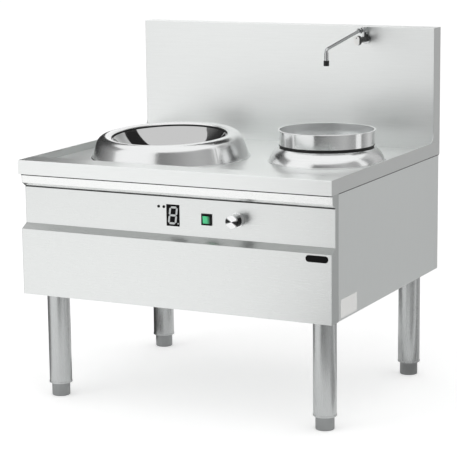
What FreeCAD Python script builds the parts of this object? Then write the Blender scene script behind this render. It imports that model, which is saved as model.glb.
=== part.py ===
import FreeCAD, Part
import math
import os

import Sketcher
from FreeCAD import Placement, Rotation, Vector

# A free-standing wok range. Its origin is on the floor, under the middle of its outline.
# X runs to the right, Y to the back and Z up. Lengths below are millimetres, angles degrees.

doc = FreeCAD.newDocument("wok_range")
sheet = doc.addObject("Spreadsheet::Sheet", "dims")

# ---------------------------------------------------------------------------
# Driving dimensions: name, value, meaning
# ---------------------------------------------------------------------------
DIMENSIONS = (
    ("overall_width", 1100.0, "worktop, side to side"),
    ("overall_depth", 920.0, "worktop, front to back"),
    ("worktop_height", 800.0, "floor to the worktop's rim"),
    ("plate", 1.5, "stainless sheet of the casing"),
    ("rim_drop", 46.0, "height of the worktop's folded edge"),
    ("front_border", 84.0, "flat border along the worktop's front"),
    ("side_rim", 5.0, "width of the upstands at the sides"),
    ("deck_recess", 24.0, "deck below the rim"),
    ("fold_radius", 2.5, "outer radius of the visible folds"),
    ("splash_height", 385.0, "backsplash above the rim"),
    ("splash_depth", 60.0, "backsplash, front to back"),
    ("corner_round", 32.0, "hollow rounding from the side upstands to the backsplash"),
    ("cabinet_inset", 3.0, "side panels inside the worktop's edge"),
    ("cabinet_base", 358.0, "floor to the cabinet's underside"),
    ("seam_setback", 58.0, "rim front to the seam of the side panels"),
    ("rear_setback", 20.0, "rear panel inside the worktop's back edge"),
    ("flange", 20.0, "width of the folded flanges"),
    ("apron_recess", 12.0, "apron behind the rim's front"),
    ("apron_lean", 5.0, "how far the apron leans back"),
    ("apron_height", 30.0, "visible height of the apron"),
    ("control_recess", 36.0, "control panel behind the rim's front"),
    ("console_drop", 43.0, "rim's lower edge to the control panel"),
    ("console_height", 121.0, "height of the control panel"),
    ("ledge_drop", 16.0, "height of the slanted ledge"),
    ("lower_recess", 8.0, "lower panel behind the rim's front"),
    ("seam_gap", 0.5, "open seam between casing panels"),
    ("seat_gap", 0.3, "clearance between loose neighbours"),
    ("running_gap", 0.05, "radial clearance of a turning fit"),
    ("leg_spread", 958.0, "between the leg axes, side to side"),
    ("leg_front", 110.0, "rim front to the front leg axes"),
    ("leg_rear", 828.0, "rim front to the rear leg axes"),
    ("leg_radius", 37.0, "outside of a leg tube"),
    ("leg_wall", 2.0, "wall of a leg tube"),
    ("leg_bead", 1.2, "bead at the lower end of a leg tube"),
    ("leg_bead_height", 6.0, "height of that bead"),
    ("foot_height", 43.0, "visible part of a levelling foot"),
    ("foot_radius", 30.0, "outside of a levelling foot"),
    ("foot_stem_radius", 10.0, "threaded stem of a foot"),
    ("foot_stem_length", 68.0, "stem above the foot"),
    ("plug_height", 24.0, "threaded plug inside a leg"),
    ("socket_plate", 4.0, "thickness of a leg socket's plate"),
    ("socket_size", 84.0, "side of a leg socket's square plate"),
    ("socket_depth", 42.0, "spigot of a leg socket inside the leg"),
    ("socket_wall", 4.0, "wall of that spigot"),
    ("frame_rail", 44.0, "width of the base frame's rails"),
    ("frame_height", 32.0, "height of the base frame's rails"),
    ("frame_wall", 2.0, "wall of the base frame's rails"),
    ("wok_left", 204.0, "wok opening, left of the middle"),
    ("wok_back", 393.0, "rim front to the wok ring's axis"),
    ("wok_tilt", 3.1, "wok ring, leaning to the front"),
    ("wok_base_radius", 263.0, "wok ring at the deck"),
    ("wok_shoulder_radius", 243.0, "wok ring at its rounded shoulder"),
    ("wok_open_radius", 193.0, "opening of the wok ring"),
    ("wok_edge_height", 73.0, "deck to the opening's edge"),
    ("wok_shoulder_drop", 16.0, "opening's edge to the shoulder"),
    ("wok_bead_radius", 33.0, "rounding of the wok ring's top"),
    ("ring_wall", 2.0, "sheet of the wok and pot rings"),
    ("bowl_lip_radius", 203.0, "outside of the glass bowl's lip"),
    ("bowl_radius", 187.0, "glass bowl at its edge"),
    ("bowl_depth", 98.0, "depth of the glass bowl"),
    ("glass", 6.0, "thickness of the glass bowl"),
    ("seal_height", 3.0, "seal between the bowl and its ring"),
    ("seal_width", 12.0, "width of that seal"),
    ("coil_gap", 4.0, "glass to the wok coil"),
    ("coil_thickness", 12.0, "wok coil's winding"),
    ("coil_inner_angle", 14.0, "inner edge of the wok coil, from straight down"),
    ("coil_outer_angle", 46.0, "outer edge of the wok coil, from straight down"),
    ("cradle_hole_angle", 4.0, "hole in the wok cradle, from straight down"),
    ("cradle_margin_angle", 4.0, "wok cradle past the coil"),
    ("cradle_wall", 4.0, "shell of a coil cradle"),
    ("post_radius", 7.0, "posts under the coil cradles"),
    ("post_circle", 150.0, "wok cradle's posts from its axis"),
    ("ferrite_length", 84.0, "ferrite bar"),
    ("ferrite_width", 14.0, "ferrite bar"),
    ("ferrite_height", 8.0, "ferrite bar"),
    ("ferrite_band", 10.0, "band that carries the ferrite bars"),
    ("sensor_radius", 8.0, "temperature sensor's sleeve"),
    ("sensor_flange", 24.0, "flange under the wok cradle"),
    ("sensor_flange_height", 3.0, "thickness of that flange"),
    ("sensor_tail", 25.0, "sleeve below that flange"),
    ("pot_right", 311.0, "pot opening, right of the middle"),
    ("pot_back", 512.0, "rim front to the pot's axis"),
    ("pot_base_radius", 190.0, "pot collar at the deck"),
    ("pot_shoulder_radius", 158.0, "pot collar's shoulder"),
    ("pot_collar_height", 45.0, "deck to the pot collar's top"),
    ("pot_collar_bore", 140.0, "opening of the pot collar"),
    ("pot_collar_bulge", 75.0, "radius of the pot collar's bulging skirt"),
    ("pot_seal_height", 8.0, "black seal under the pot ring"),
    ("pot_seal_radius", 153.5, "outside of that seal"),
    ("pot_seal_width", 8.5, "width of that seal"),
    ("pot_ring_radius", 155.5, "outside of the pot ring's band"),
    ("pot_ring_height", 50.0, "height of the pot ring"),
    ("pot_ring_wall", 1.5, "sheet of the pot ring"),
    ("pot_lip", 6.0, "how far the pot ring's lip stands out"),
    ("pot_shelf_drop", 36.5, "pot ring's lip to the shelf for the pot"),
    ("pot_shelf_width", 20.0, "width of that shelf"),
    ("pot_flange_radius", 153.0, "outside of the soup pot's flange"),
    ("pot_radius", 115.0, "outside of the soup pot"),
    ("pot_wall", 1.2, "sheet of the soup pot"),
    ("pot_depth", 190.0, "depth of the soup pot"),
    ("pot_corner", 18.0, "rounding of the soup pot's bottom"),
    ("pot_neck", 3.0, "rounding under the soup pot's flange"),
    ("pot_coil_gap", 6.0, "soup pot to its coil"),
    ("pot_coil_thickness", 10.0, "pot coil's winding"),
    ("pot_coil_height", 110.0, "pot coil's winding"),
    ("pot_post_circle", 100.0, "pot cradle's posts from its axis"),
    ("pot_cradle_hole", 40.0, "hole in the pot cradle's floor"),
    ("window_middle", -4.5, "display, from the middle"),
    ("window_width", 46.0, "display"),
    ("window_height", 68.5, "display"),
    ("window_drop", 59.5, "control panel's top to the display's middle"),
    ("window_proud", 0.8, "display in front of the panel"),
    ("window_round", 1.5, "corners of the display"),
    ("window_depth", 3.0, "display behind the panel"),
    ("lens_radius", 4.5, "indicator lenses"),
    ("lens_first", -55.0, "left indicator, from the middle"),
    ("lens_second", -36.5, "right indicator, from the middle"),
    ("lens_drop", 34.0, "control panel's top to the indicators"),
    ("lens_proud", 1.2, "indicators in front of the panel"),
    ("switch_middle", 114.0, "rocker switch, from the middle"),
    ("switch_size", 36.0, "rocker switch's bezel, square"),
    ("switch_drop", 64.5, "control panel's top to the switch's middle"),
    ("switch_proud", 3.0, "bezel in front of the panel"),
    ("switch_depth", 32.0, "switch behind the panel"),
    ("switch_border", 5.0, "width of the bezel's frame"),
    ("switch_lap", 2.5, "bezel over the panel"),
    ("switch_cavity", 14.0, "depth of the rocker's recess"),
    ("rocker_tilt", 6.0, "rest angle of the rocker"),
    ("rocker_height", 23.6, "rocker"),
    ("rocker_proud", 1.0, "rocker's middle in front of the bezel"),
    ("rocker_dip", 0.6, "hollow across the rocker's face"),
    ("rocker_back", 2.5, "rocker behind its pivot"),
    ("rocker_front", 6.5, "rocker in front of its pivot"),
    ("rocker_pin_radius", 1.5, "rocker's pivot pins"),
    ("rocker_pin_length", 2.4, "rocker's pivot pins"),
    ("knob_middle", 222.0, "knob, from the middle"),
    ("knob_drop", 57.0, "control panel's top to the knob's axis"),
    ("knob_radius", 21.0, "knob"),
    ("knob_skirt_radius", 23.0, "collar at the knob's foot"),
    ("knob_skirt", 6.0, "length of that collar"),
    ("knob_length", 46.0, "knob, front to back"),
    ("knob_gap", 1.0, "knob to the panel"),
    ("knob_edge", 2.0, "rounding of the knob's front edge"),
    ("knob_cap", 5.0, "bright cap on the knob's front"),
    ("knob_step", 0.6, "grip below the cap's edge"),
    ("knob_flute", 1.1, "radius of the grip's grooves"),
    ("knob_bore", 30.0, "depth of the knob's bore"),
    ("shaft_radius", 3.0, "knob's shaft"),
    ("encoder_size", 26.0, "encoder's square body"),
    ("encoder_depth", 14.0, "encoder behind its board"),
    ("encoder_bore", 8.0, "shaft inside the encoder"),
    ("board_gap", 14.0, "control panel to its board"),
    ("board", 1.6, "thickness of a circuit board"),
    ("board_margin", 26.0, "control board past the parts it serves"),
    ("board_half", 44.0, "half the control board's height"),
    ("standoff_radius", 4.0, "standoffs of the control board"),
    ("tap_right", 305.0, "tap, right of the middle"),
    ("tap_height", 1142.5, "floor to the tap's axis"),
    ("tap_body_radius", 10.0, "tap's body"),
    ("tap_body_length", 59.0, "tap's body in front of its flange"),
    ("tap_flange_radius", 17.0, "flange at the backsplash"),
    ("tap_flange", 4.0, "thickness of that flange"),
    ("tap_handle_width", 20.0, "tap's handle"),
    ("tap_handle_height", 32.0, "tap's handle"),
    ("tap_handle_length", 22.0, "tap's handle"),
    ("tap_cap", 2.0, "plate on the handle's front"),
    ("tap_stem_radius", 5.0, "stem inside the handle"),
    ("tap_stem_length", 12.0, "stem inside the handle"),
    ("riser_setback", 13.0, "backsplash to the tap's riser"),
    ("riser_radius", 6.5, "tap's riser"),
    ("riser_height", 24.0, "tap's axis to the swivel"),
    ("swivel_height", 17.0, "swivel hub of the spout"),
    ("swivel_radius", 8.0, "swivel hub of the spout"),
    ("swivel_pin_radius", 4.0, "riser's pin inside the hub"),
    ("swivel_cap", 3.0, "closed top of the hub"),
    ("nut_reach", 44.5, "riser to the spout's nut"),
    ("nut_radius", 11.0, "spout's nut, across its corners"),
    ("nut_length", 11.0, "spout's nut"),
    ("spout_radius", 5.5, "spout's tube"),
    ("spout_reach", 313.0, "riser to the bend of the spout"),
    ("spout_slope", 8.0, "slope of the spout"),
    ("spout_bend", 12.0, "bend at the spout's end"),
    ("nozzle_radius", 7.0, "nozzle under the bend"),
    ("nozzle_length", 26.0, "nozzle under the bend"),
    ("aerator_radius", 9.0, "black aerator"),
    ("aerator_length", 17.0, "black aerator"),
    ("supply_radius", 8.0, "water pipe behind the backsplash"),
    ("supply_setback", 25.0, "backsplash front to that pipe"),
    ("supply_bend", 15.0, "bends of the water pipe"),
    ("inlet_height", 700.0, "floor to the water inlet"),
    ("inlet_radius", 10.5, "threaded water inlet"),
    ("inlet_length", 18.0, "inlet behind the rear panel"),
    ("badge_middle", 498.0, "blank badge, from the middle"),
    ("badge_width", 74.0, "blank badge"),
    ("badge_height", 21.0, "blank badge"),
    ("badge_plate", 1.2, "thickness of the badge"),
    ("badge_drop", 15.5, "lower panel's top to the badge's middle"),
    ("label_start", 75.0, "rim front to the blank label"),
    ("label_width", 126.0, "blank label on the right side"),
    ("label_height", 58.0, "blank label on the right side"),
    ("label_rise", 7.0, "cabinet's underside to the label"),
    ("label_plate", 0.6, "thickness of the label"),
    ("power_width", 330.0, "power unit's case"),
    ("power_depth", 230.0, "power unit's case"),
    ("power_height", 140.0, "power unit's case"),
    ("power_middle", 40.0, "power unit's case, from the middle"),
    ("power_back", 650.0, "rim front to the power unit's middle"),
    ("power_rise", 10.0, "feet under the power unit"),
    ("power_foot", 9.0, "radius of those feet"),
    ("power_foot_inset", 25.0, "those feet inside the case"),
    ("sink_height", 50.0, "heat sink"),
    ("sink_width", 110.0, "heat sink"),
    ("sink_length", 150.0, "heat sink"),
    ("fin", 2.0, "fins of the heat sink"),
    ("sink_base", 8.0, "base of the heat sink"),
    ("fan_size", 120.0, "fan frame, square"),
    ("fan_depth", 38.0, "fan frame, front to back"),
    ("fan_bore", 57.0, "bore of the fan frame"),
    ("fan_hub_radius", 20.0, "fan rotor's hub"),
    ("fan_tip_gap", 1.5, "fan blades to their bore"),
    ("fan_chord", 26.0, "width of a fan blade"),
    ("fan_blade", 2.2, "thickness of a fan blade"),
    ("fan_pitch", 40.0, "angle of a fan blade to the fan's plane"),
    ("fan_strut", 6.0, "width of the fan frame's struts"),
    ("fan_strut_depth", 4.0, "depth of those struts"),
    ("fan_spindle", 2.5, "radius of the fan's spindle"),
    ("fan_spindle_length", 28.0, "length of the fan's spindle"),
    ("fan_hub_length", 26.0, "fan rotor's hub"),
    ("fan_hub_gap", 1.0, "rotor to the struts"),
    ("gland_radius", 14.0, "cable gland's flange"),
    ("gland_bore", 7.0, "cable gland's bore"),
    ("gland_left", 300.0, "cable gland, left of the middle"),
    ("gland_height", 430.0, "floor to the cable gland"),
    ("gland_reach", 17.0, "cable gland behind the rear panel"),
    ("gland_thread", 9.5, "cable gland through the panel"),
    ("gland_dome", 11.0, "cable gland's outer end"),
    ("gland_flange", 6.0, "thickness of the gland's flange and nut"),
    ("terminal_width", 96.0, "terminal block"),
    ("terminal_height", 40.0, "terminal block"),
    ("terminal_depth", 34.0, "terminal block"),
    ("terminal_back", 760.0, "rim front to the terminal block"),
    ("terminal_hole", 4.0, "wells over the terminal screws"),
    ("slot_width", 40.0, "vent slots"),
    ("slot_height", 5.0, "vent slots"),
    ("slot_pitch", 14.0, "vent slots, one above the other"),
    ("slot_column", 56.0, "vent slots, side by side"),
    ("slot_round", 2.2, "corners of the vent slots"),
    ("screw_radius", 4.5, "heads of the casing screws"),
    ("screw_head", 2.2, "height of those heads"),
    ("screw_margin", 24.0, "screws from the rear panel's edges"),
)
BLADES = 7
FERRITES = 8
FINS = 13
SLOT_ROWS = 8
SLOT_COLUMNS = 5
FLOOR_COLUMNS = 3
POSTS = 4
FLUTES = 24
TERMINALS = 6
# Share of a width that rounds an end almost to a half circle.
END_SHARE = 0.49


class Size:
    """A length or angle that holds its number and the expression that gives it."""

    def __init__(self, value, text):
        self.value = value
        self.text = text

    def _with(self, other, value, sign):
        return Size(value, f"({self.text} {sign} {as_size(other).text})")

    def __add__(self, other):
        return self._with(other, self.value + as_size(other).value, "+")

    def __sub__(self, other):
        return self._with(other, self.value - as_size(other).value, "-")

    def __mul__(self, other):
        return self._with(other, self.value * as_size(other).value, "*")

    def __truediv__(self, other):
        return self._with(other, self.value / as_size(other).value, "/")

    def __rsub__(self, other):
        return as_size(other) - self

    def __radd__(self, other):
        return as_size(other) + self

    def __rmul__(self, other):
        return as_size(other) * self

    def __neg__(self):
        return Size(-self.value, f"(0 - {self.text})")


def as_size(value):
    """A plain number as a Size."""
    return value if isinstance(value, Size) else Size(float(value), repr(float(value)))


def root(size):
    """Square root of a Size."""
    return Size(math.sqrt(size.value), f"sqrt({size.text})")


def cosine(angle):
    """Cosine of an angle in degrees."""
    return Size(math.cos(math.radians(angle.value)), f"cos({angle.text} * 1 deg)")


def sine(angle):
    """Sine of an angle in degrees."""
    return Size(math.sin(math.radians(angle.value)), f"sin({angle.text} * 1 deg)")


def write_dimensions():
    """Fills the sheet and returns the Sizes by name."""
    sizes = {}
    for row, (name, value, meaning) in enumerate(DIMENSIONS, start=1):
        sheet.set(f"A{row}", name)
        sheet.set(f"B{row}", str(value))
        sheet.set(f"C{row}", meaning)
        sheet.setAlias(f"B{row}", name)
        sizes[name] = Size(value, f"dims.{name}")
    doc.recompute()
    return sizes


class Dims:
    """The driving dimensions as attributes."""

    def __init__(self, sizes):
        self.__dict__.update(sizes)


d = Dims(write_dimensions())

# ---------------------------------------------------------------------------
# Places that follow from the driving dimensions
# ---------------------------------------------------------------------------
DERIVED = []


def derived(name, size):
    """Adds a size that follows from others to the sheet."""
    row = len(DIMENSIONS) + len(DERIVED) + 1
    DERIVED.append(name)
    sheet.set(f"A{row}", name)
    sheet.set(f"B{row}", "=" + size.text.replace("dims.", ""))
    sheet.setAlias(f"B{row}", name)
    return Size(size.value, f"dims.{name}")


ZERO = as_size(0)
HALF_WIDTH = derived("half_width", d.overall_width / 2)
KNOB_FACE = derived("knob_face", d.control_recess - d.knob_gap - d.knob_length)
FRONT = derived("front", -((KNOB_FACE + d.overall_depth) / 2))
DECK = derived("deck", d.worktop_height - d.deck_recess)
DECK_UNDER = derived("deck_under", DECK - d.plate)
RIM_UNDER = derived("rim_under", d.worktop_height - d.rim_drop)
BORDER_UNDER = derived("border_under", d.worktop_height - d.plate)
SPLASH_FACE = derived("splash_face", d.overall_depth - d.splash_depth)
SPLASH_TOP = derived("splash_top", d.worktop_height + d.splash_height)
SIDE_FACE = derived("side_face", HALF_WIDTH - d.cabinet_inset)
SIDE_INNER = derived("side_inner", SIDE_FACE - d.plate)
FLOOR_PANEL = derived("floor_panel", d.cabinet_base + d.plate)
FLOOR_TOP = derived("floor_top", FLOOR_PANEL + d.plate)
REAR_FACE = derived("rear_face", d.overall_depth - d.rear_setback)
REAR_INNER = derived("rear_inner", REAR_FACE - d.plate)
APRON_FOOT = derived("apron_foot", RIM_UNDER - d.apron_height)
APRON_EDGE = derived("apron_edge", d.apron_recess + d.apron_lean)
CONSOLE_TOP = derived("console_top", RIM_UNDER - d.console_drop)
CONSOLE_FOOT = derived("console_foot", CONSOLE_TOP - d.console_height)
CONSOLE_BACK = derived("console_back", d.control_recess + d.plate)
LOWER_TOP = derived("lower_top", CONSOLE_FOOT - d.ledge_drop)
COVER_BACK = derived("cover_back", d.overall_depth - d.plate * 2)
LEG_X = derived("leg_x", d.leg_spread / 2)
LEG_INNER = derived("leg_inner", d.leg_radius - d.leg_wall)
SPIGOT_RADIUS = derived("spigot_radius", LEG_INNER - d.seat_gap)
SOCKET_TOP = derived("socket_top", FLOOR_TOP + d.socket_plate)


# ---------------------------------------------------------------------------
# Helpers
# ---------------------------------------------------------------------------
class Arc:
    """An arc of an outline, given by its end point and radius. It turns left or right."""

    def __init__(self, x, y, radius, left=True):
        self.x = as_size(x)
        self.y = as_size(y)
        self.radius = as_size(radius)
        self.left = left


def bind(obj, prop, size):
    """Ties a property to the sheet."""
    obj.setExpression(prop, as_size(size).text)


def stand(obj, x=ZERO, y=ZERO, z=ZERO):
    """Places an object, with y counted from the rim's front."""
    bind(obj, "Placement.Base.x", x)
    bind(obj, "Placement.Base.y", FRONT + y)
    bind(obj, "Placement.Base.z", z)


def rectangle(x0, x1, y0, y1):
    """Corners of a rectangle."""
    return [(x0, y0), (x1, y0), (x1, y1), (x0, y1)]


def centred(x, y, width, height):
    """A rectangle about its middle."""
    return rectangle(x - width / 2, x + width / 2, y - height / 2, y + height / 2)


def pin_point(sketch, geo, pos, x, y):
    """Ties a point of a sketch to the sheet."""
    for kind, size in (("DistanceX", x), ("DistanceY", y)):
        index = sketch.addConstraint(Sketcher.Constraint(kind, -1, 1, geo, pos, size.value))
        bind(sketch, f"Constraints[{index}]", size)


def pin_radius(sketch, geo, radius):
    """Ties a radius of a sketch to the sheet."""
    index = sketch.addConstraint(Sketcher.Constraint("Radius", geo, radius.value))
    bind(sketch, f"Constraints[{index}]", radius)


def add_arc(sketch, a, b, bend):
    """Draws an arc between two points and returns its start and end."""
    chord = b - a
    side = Vector(-chord.y, chord.x, 0).normalize()
    rise = math.sqrt(bend.radius.value ** 2 - chord.Length ** 2 / 4)
    centre = (a + b) / 2 + side * (rise if bend.left else -rise)
    first, last = (a, b) if bend.left else (b, a)
    angles = [math.atan2(v.y - centre.y, v.x - centre.x) for v in (first, last)]
    circle = Part.Circle(centre, Vector(0, 0, 1), bend.radius.value)
    geo = sketch.addGeometry(Part.ArcOfCircle(circle, angles[0], angles[1]))
    pin_radius(sketch, geo, bend.radius)
    return ((geo, 1), (geo, 2)) if bend.left else ((geo, 2), (geo, 1))


def add_outline(sketch, points, closed=True):
    """Draws lines and arcs from corner to corner."""
    corners = []
    for point in points:
        x, y = (point.x, point.y) if isinstance(point, Arc) else point
        corners.append((as_size(x), as_size(y)))
    count = len(corners)
    pieces = []
    for i in range(count if closed else count - 1):
        after = (i + 1) % count
        a = Vector(corners[i][0].value, corners[i][1].value, 0)
        b = Vector(corners[after][0].value, corners[after][1].value, 0)
        if isinstance(points[after], Arc):
            pieces.append(add_arc(sketch, a, b, points[after]))
        else:
            geo = sketch.addGeometry(Part.LineSegment(a, b))
            pieces.append(((geo, 1), (geo, 2)))
    for i, (start, _) in enumerate(pieces):
        if i or closed:
            end = pieces[i - 1][1]
            sketch.addConstraint(Sketcher.Constraint("Coincident", *end, *start))
        pin_point(sketch, *start, *corners[i])
    if not closed:
        pin_point(sketch, *pieces[-1][1], *corners[-1])


def add_circle(sketch, x, y, radius):
    """Draws one circle."""
    x, y, radius = as_size(x), as_size(y), as_size(radius)
    circle = Part.Circle(Vector(x.value, y.value, 0), Vector(0, 0, 1), radius.value)
    geo = sketch.addGeometry(circle)
    pin_point(sketch, geo, 3, x, y)
    pin_radius(sketch, geo, radius)


class Piece:
    """One solid made of sketches and features. Its y is counted from the rim's front."""

    def __init__(self, name, x=ZERO, y=ZERO, z=ZERO):
        self.name = name
        self.body = doc.addObject("PartDesign::Body", name)
        self.body.Label = name
        self.count = 0
        stand(self.body, x, y, z)

    def tilt(self, angle):
        """Turns the whole piece about its own X axis, so that its top leans forward."""
        self.body.Placement = Placement(Vector(), Rotation(X_AXIS, angle.value))
        bind(self.body, "Placement.Rotation.Angle", angle)

    def origin(self, role):
        """A plane or axis through the piece's own origin."""
        return next(o for o in self.body.Origin.OriginFeatures if o.Role == role)

    def sketch(self, plane, level, outlines=(), circles=(), turn=None):
        """A sketch on an origin plane, moved along the plane's axis to the level."""
        self.count += 1
        drawn = self.body.newObject("Sketcher::SketchObject", f"{self.name}_sketch_{self.count}")
        drawn.AttachmentSupport = [(self.origin(f"{plane}_Plane"), "")]
        drawn.MapMode = "FlatFace"
        if turn is not None:
            drawn.AttachmentOffset = Placement(Vector(), Rotation(X_AXIS, turn.value))
            bind(drawn, "AttachmentOffset.Rotation.Angle", turn)
        level = as_size(level)
        bind(drawn, "AttachmentOffset.Base.z", -level if plane == "XZ" else level)
        for points in outlines:
            add_outline(drawn, points)
        for circle in circles:
            add_circle(drawn, *circle)
        return drawn

    def feature(self, kind, profile):
        """A feature that uses a sketch."""
        self.count += 1
        made = self.body.newObject(f"PartDesign::{kind}", f"{self.name}_{kind}_{self.count}")
        made.Profile = profile
        return made

    def pad(self, plane, low, high, outlines=(), circles=(), turn=None):
        """Adds material between two levels of a plane's axis."""
        low, high = as_size(low), as_size(high)
        level = high if plane == "XZ" else low
        made = self.feature("Pad", self.sketch(plane, level, outlines, circles, turn))
        bind(made, "Length", high - low)
        return made

    def pocket(self, plane, low, high, outlines=(), circles=(), turn=None):
        """Takes material away between two levels of a plane's axis."""
        low, high = as_size(low), as_size(high)
        level = low if plane == "XZ" else high
        made = self.feature("Pocket", self.sketch(plane, level, outlines, circles, turn))
        bind(made, "Length", high - low)
        return made

    def turned(self, points, axis="Z"):
        """Turns an outline about the piece's Z axis, or about its Y axis from (y, radius)."""
        plane, line = ("XZ", "V_Axis") if axis == "Z" else ("YZ", "H_Axis")
        made = self.feature("Revolution", self.sketch(plane, ZERO, [points]))
        made.ReferenceAxis = (made.Profile[0], [line])
        made.Angle = 360
        return made

    def sweep(self, path, profile):
        """Carries a sketched profile along a path in the YZ plane."""
        spine = self.sketch("YZ", ZERO)
        add_outline(spine, path, closed=False)
        made = self.feature("AdditivePipe", profile)
        made.Spine = (spine, [])
        return made

    def repeated(self, kind, feature, line, count, length=None):
        """Repeats a feature about or along one of the piece's own axes."""
        self.count += 1
        made = self.body.newObject(f"PartDesign::{kind}Pattern", f"{self.name}_{kind}_{self.count}")
        made.Originals = [feature]
        reference = (self.origin(f"{line}_Axis"), [""])
        if kind == "Polar":
            made.Axis = reference
            made.Angle = 360
        else:
            made.Direction = reference
            bind(made, "Length", length)
        made.Occurrences = count
        self.body.Tip = made
        return made

    def fillet(self, radius, wanted):
        """Rounds the edges that the test picks."""
        doc.recompute()
        base = self.body.Tip
        names = [f"Edge{i}" for i, edge in enumerate(base.Shape.Edges, start=1) if wanted(edge)]
        self.count += 1
        made = self.body.newObject("PartDesign::Fillet", f"{self.name}_fillet_{self.count}")
        made.Base = (base, names)
        bind(made, "Radius", radius)
        self.body.Tip = made
        return made


X_AXIS = Vector(1, 0, 0)
Y_AXIS = Vector(0, 1, 0)
Z_AXIS = Vector(0, 0, 1)
CLOSE = 0.01


def along(edge, axis):
    """Whether a straight edge runs along an axis."""
    return isinstance(edge.Curve, Part.Line) and abs(edge.Curve.Direction.dot(axis)) > 1 - CLOSE


def passes(edge, **places):
    """Whether an edge's middle lies at the given coordinates."""
    middle = edge.BoundBox.Center
    return all(abs(getattr(middle, key) - size.value) < CLOSE for key, size in places.items())


def box(name, x0, x1, y0, y1, z0, z1):
    """A block between three pairs of levels, with y counted from the rim's front."""
    made = doc.addObject("Part::Box", name)
    made.Label = name
    bind(made, "Length", x1 - x0)
    bind(made, "Width", y1 - y0)
    bind(made, "Height", z1 - z0)
    stand(made, x0, y0, z0)
    return made


def rod(name, x, y, z, radius, length, axis=Z_AXIS):
    """A round bar from a point along an axis."""
    made = doc.addObject("Part::Cylinder", name)
    made.Label = name
    bind(made, "Radius", radius)
    bind(made, "Height", length)
    made.Placement = Placement(Vector(), Rotation(Z_AXIS, axis))
    stand(made, x, y, z)
    return made


def joined(name, parts):
    """One solid out of several that meet."""
    made = doc.addObject("Part::MultiFuse", name)
    made.Label = name
    made.Shapes = parts
    return made


def less(name, base, tool):
    """A solid less another."""
    made = doc.addObject("Part::Cut", name)
    made.Label = name
    made.Base = base
    made.Tool = tool
    return made


def group(name, parts):
    """Several separate solids in one sub-part."""
    made = doc.addObject("Part::Compound", name)
    made.Label = name
    made.Links = parts
    return made


# ---------------------------------------------------------------------------
# Casing
# ---------------------------------------------------------------------------
def worktop():
    """Folded worktop: a flat front border, thin side upstands and a sunken deck."""
    piece = Piece("worktop")
    outer = rectangle(-HALF_WIDTH, HALF_WIDTH, ZERO, d.overall_depth)
    piece.pad("XY", RIM_UNDER, d.worktop_height, [outer])
    pan_side = HALF_WIDTH - d.side_rim
    pan = rectangle(-pan_side, pan_side, d.front_border, SPLASH_FACE)
    piece.pocket("XY", DECK, d.worktop_height, [pan])
    side = HALF_WIDTH - d.plate
    inside = rectangle(-side, side, d.plate, d.overall_depth - d.plate)
    under_side = pan_side + d.plate
    under = rectangle(-under_side, under_side, d.front_border - d.plate, SPLASH_FACE + d.plate)
    piece.pocket("XY", RIM_UNDER, BORDER_UNDER, [inside, under])
    piece.pocket("XY", RIM_UNDER, DECK_UNDER, [under])
    holes = [
        (-d.wok_left, d.wok_back, d.wok_shoulder_radius - d.flange),
        (d.pot_right, d.pot_back, d.pot_shoulder_radius - d.ring_wall * 3),
        (d.tap_right, SPLASH_FACE + d.supply_setback, d.supply_radius + d.ring_wall * 2),
    ]
    piece.pocket("XY", RIM_UNDER, d.worktop_height, circles=holes)

    def outer_fold(edge):
        top = d.worktop_height
        front = along(edge, X_AXIS) and passes(edge, y=ZERO, z=top)
        right = along(edge, Y_AXIS) and passes(edge, x=HALF_WIDTH, z=top)
        left = along(edge, Y_AXIS) and passes(edge, x=-HALF_WIDTH, z=top)
        return front or right or left

    piece.fillet(d.fold_radius, outer_fold)
    return piece.body


def backsplash():
    """Folded backsplash that stands on the worktop's back edge, open to the rear."""
    piece = Piece("backsplash")
    outer = rectangle(-HALF_WIDTH, HALF_WIDTH, d.worktop_height, SPLASH_TOP)
    piece.pad("XZ", SPLASH_FACE, d.overall_depth, [outer])
    side = HALF_WIDTH - d.plate
    inner = rectangle(-side, side, d.worktop_height + d.plate, SPLASH_TOP - d.plate)
    piece.pocket("XZ", SPLASH_FACE + d.plate, d.overall_depth, [inner])
    tap_hole = (d.tap_right, d.tap_height, d.supply_radius + d.seat_gap)
    piece.pocket("XZ", SPLASH_FACE, SPLASH_FACE + d.plate, circles=[tap_hole])
    pipe_hole = (d.tap_right, SPLASH_FACE + d.supply_setback, d.supply_radius + d.ring_wall)
    piece.pocket("XY", d.worktop_height, d.worktop_height + d.plate, circles=[pipe_hole])

    def outer_fold(edge):
        top = along(edge, X_AXIS) and passes(edge, y=SPLASH_FACE, z=SPLASH_TOP)
        right = along(edge, Z_AXIS) and passes(edge, x=HALF_WIDTH, y=SPLASH_FACE)
        left = along(edge, Z_AXIS) and passes(edge, x=-HALF_WIDTH, y=SPLASH_FACE)
        return top or right or left

    piece.fillet(d.fold_radius / 2, outer_fold)
    foot = d.worktop_height
    corner = [
        Arc(SPLASH_FACE - d.corner_round, foot, d.corner_round, left=False),
        (SPLASH_FACE + d.plate, foot),
        (SPLASH_FACE + d.plate, foot + d.corner_round),
        (SPLASH_FACE, foot + d.corner_round),
    ]
    piece.pad("YZ", side, HALF_WIDTH, [corner])
    piece.pad("YZ", -HALF_WIDTH, -side, [corner])
    return piece.body


def backsplash_cover():
    """Flat sheet that closes the backsplash from behind."""
    side = HALF_WIDTH - d.plate - d.seat_gap
    low = d.worktop_height + d.plate + d.seat_gap
    high = SPLASH_TOP - d.plate - d.seat_gap
    return box("backsplash_cover", -side, side, COVER_BACK - d.plate, COVER_BACK, low, high)


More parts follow.
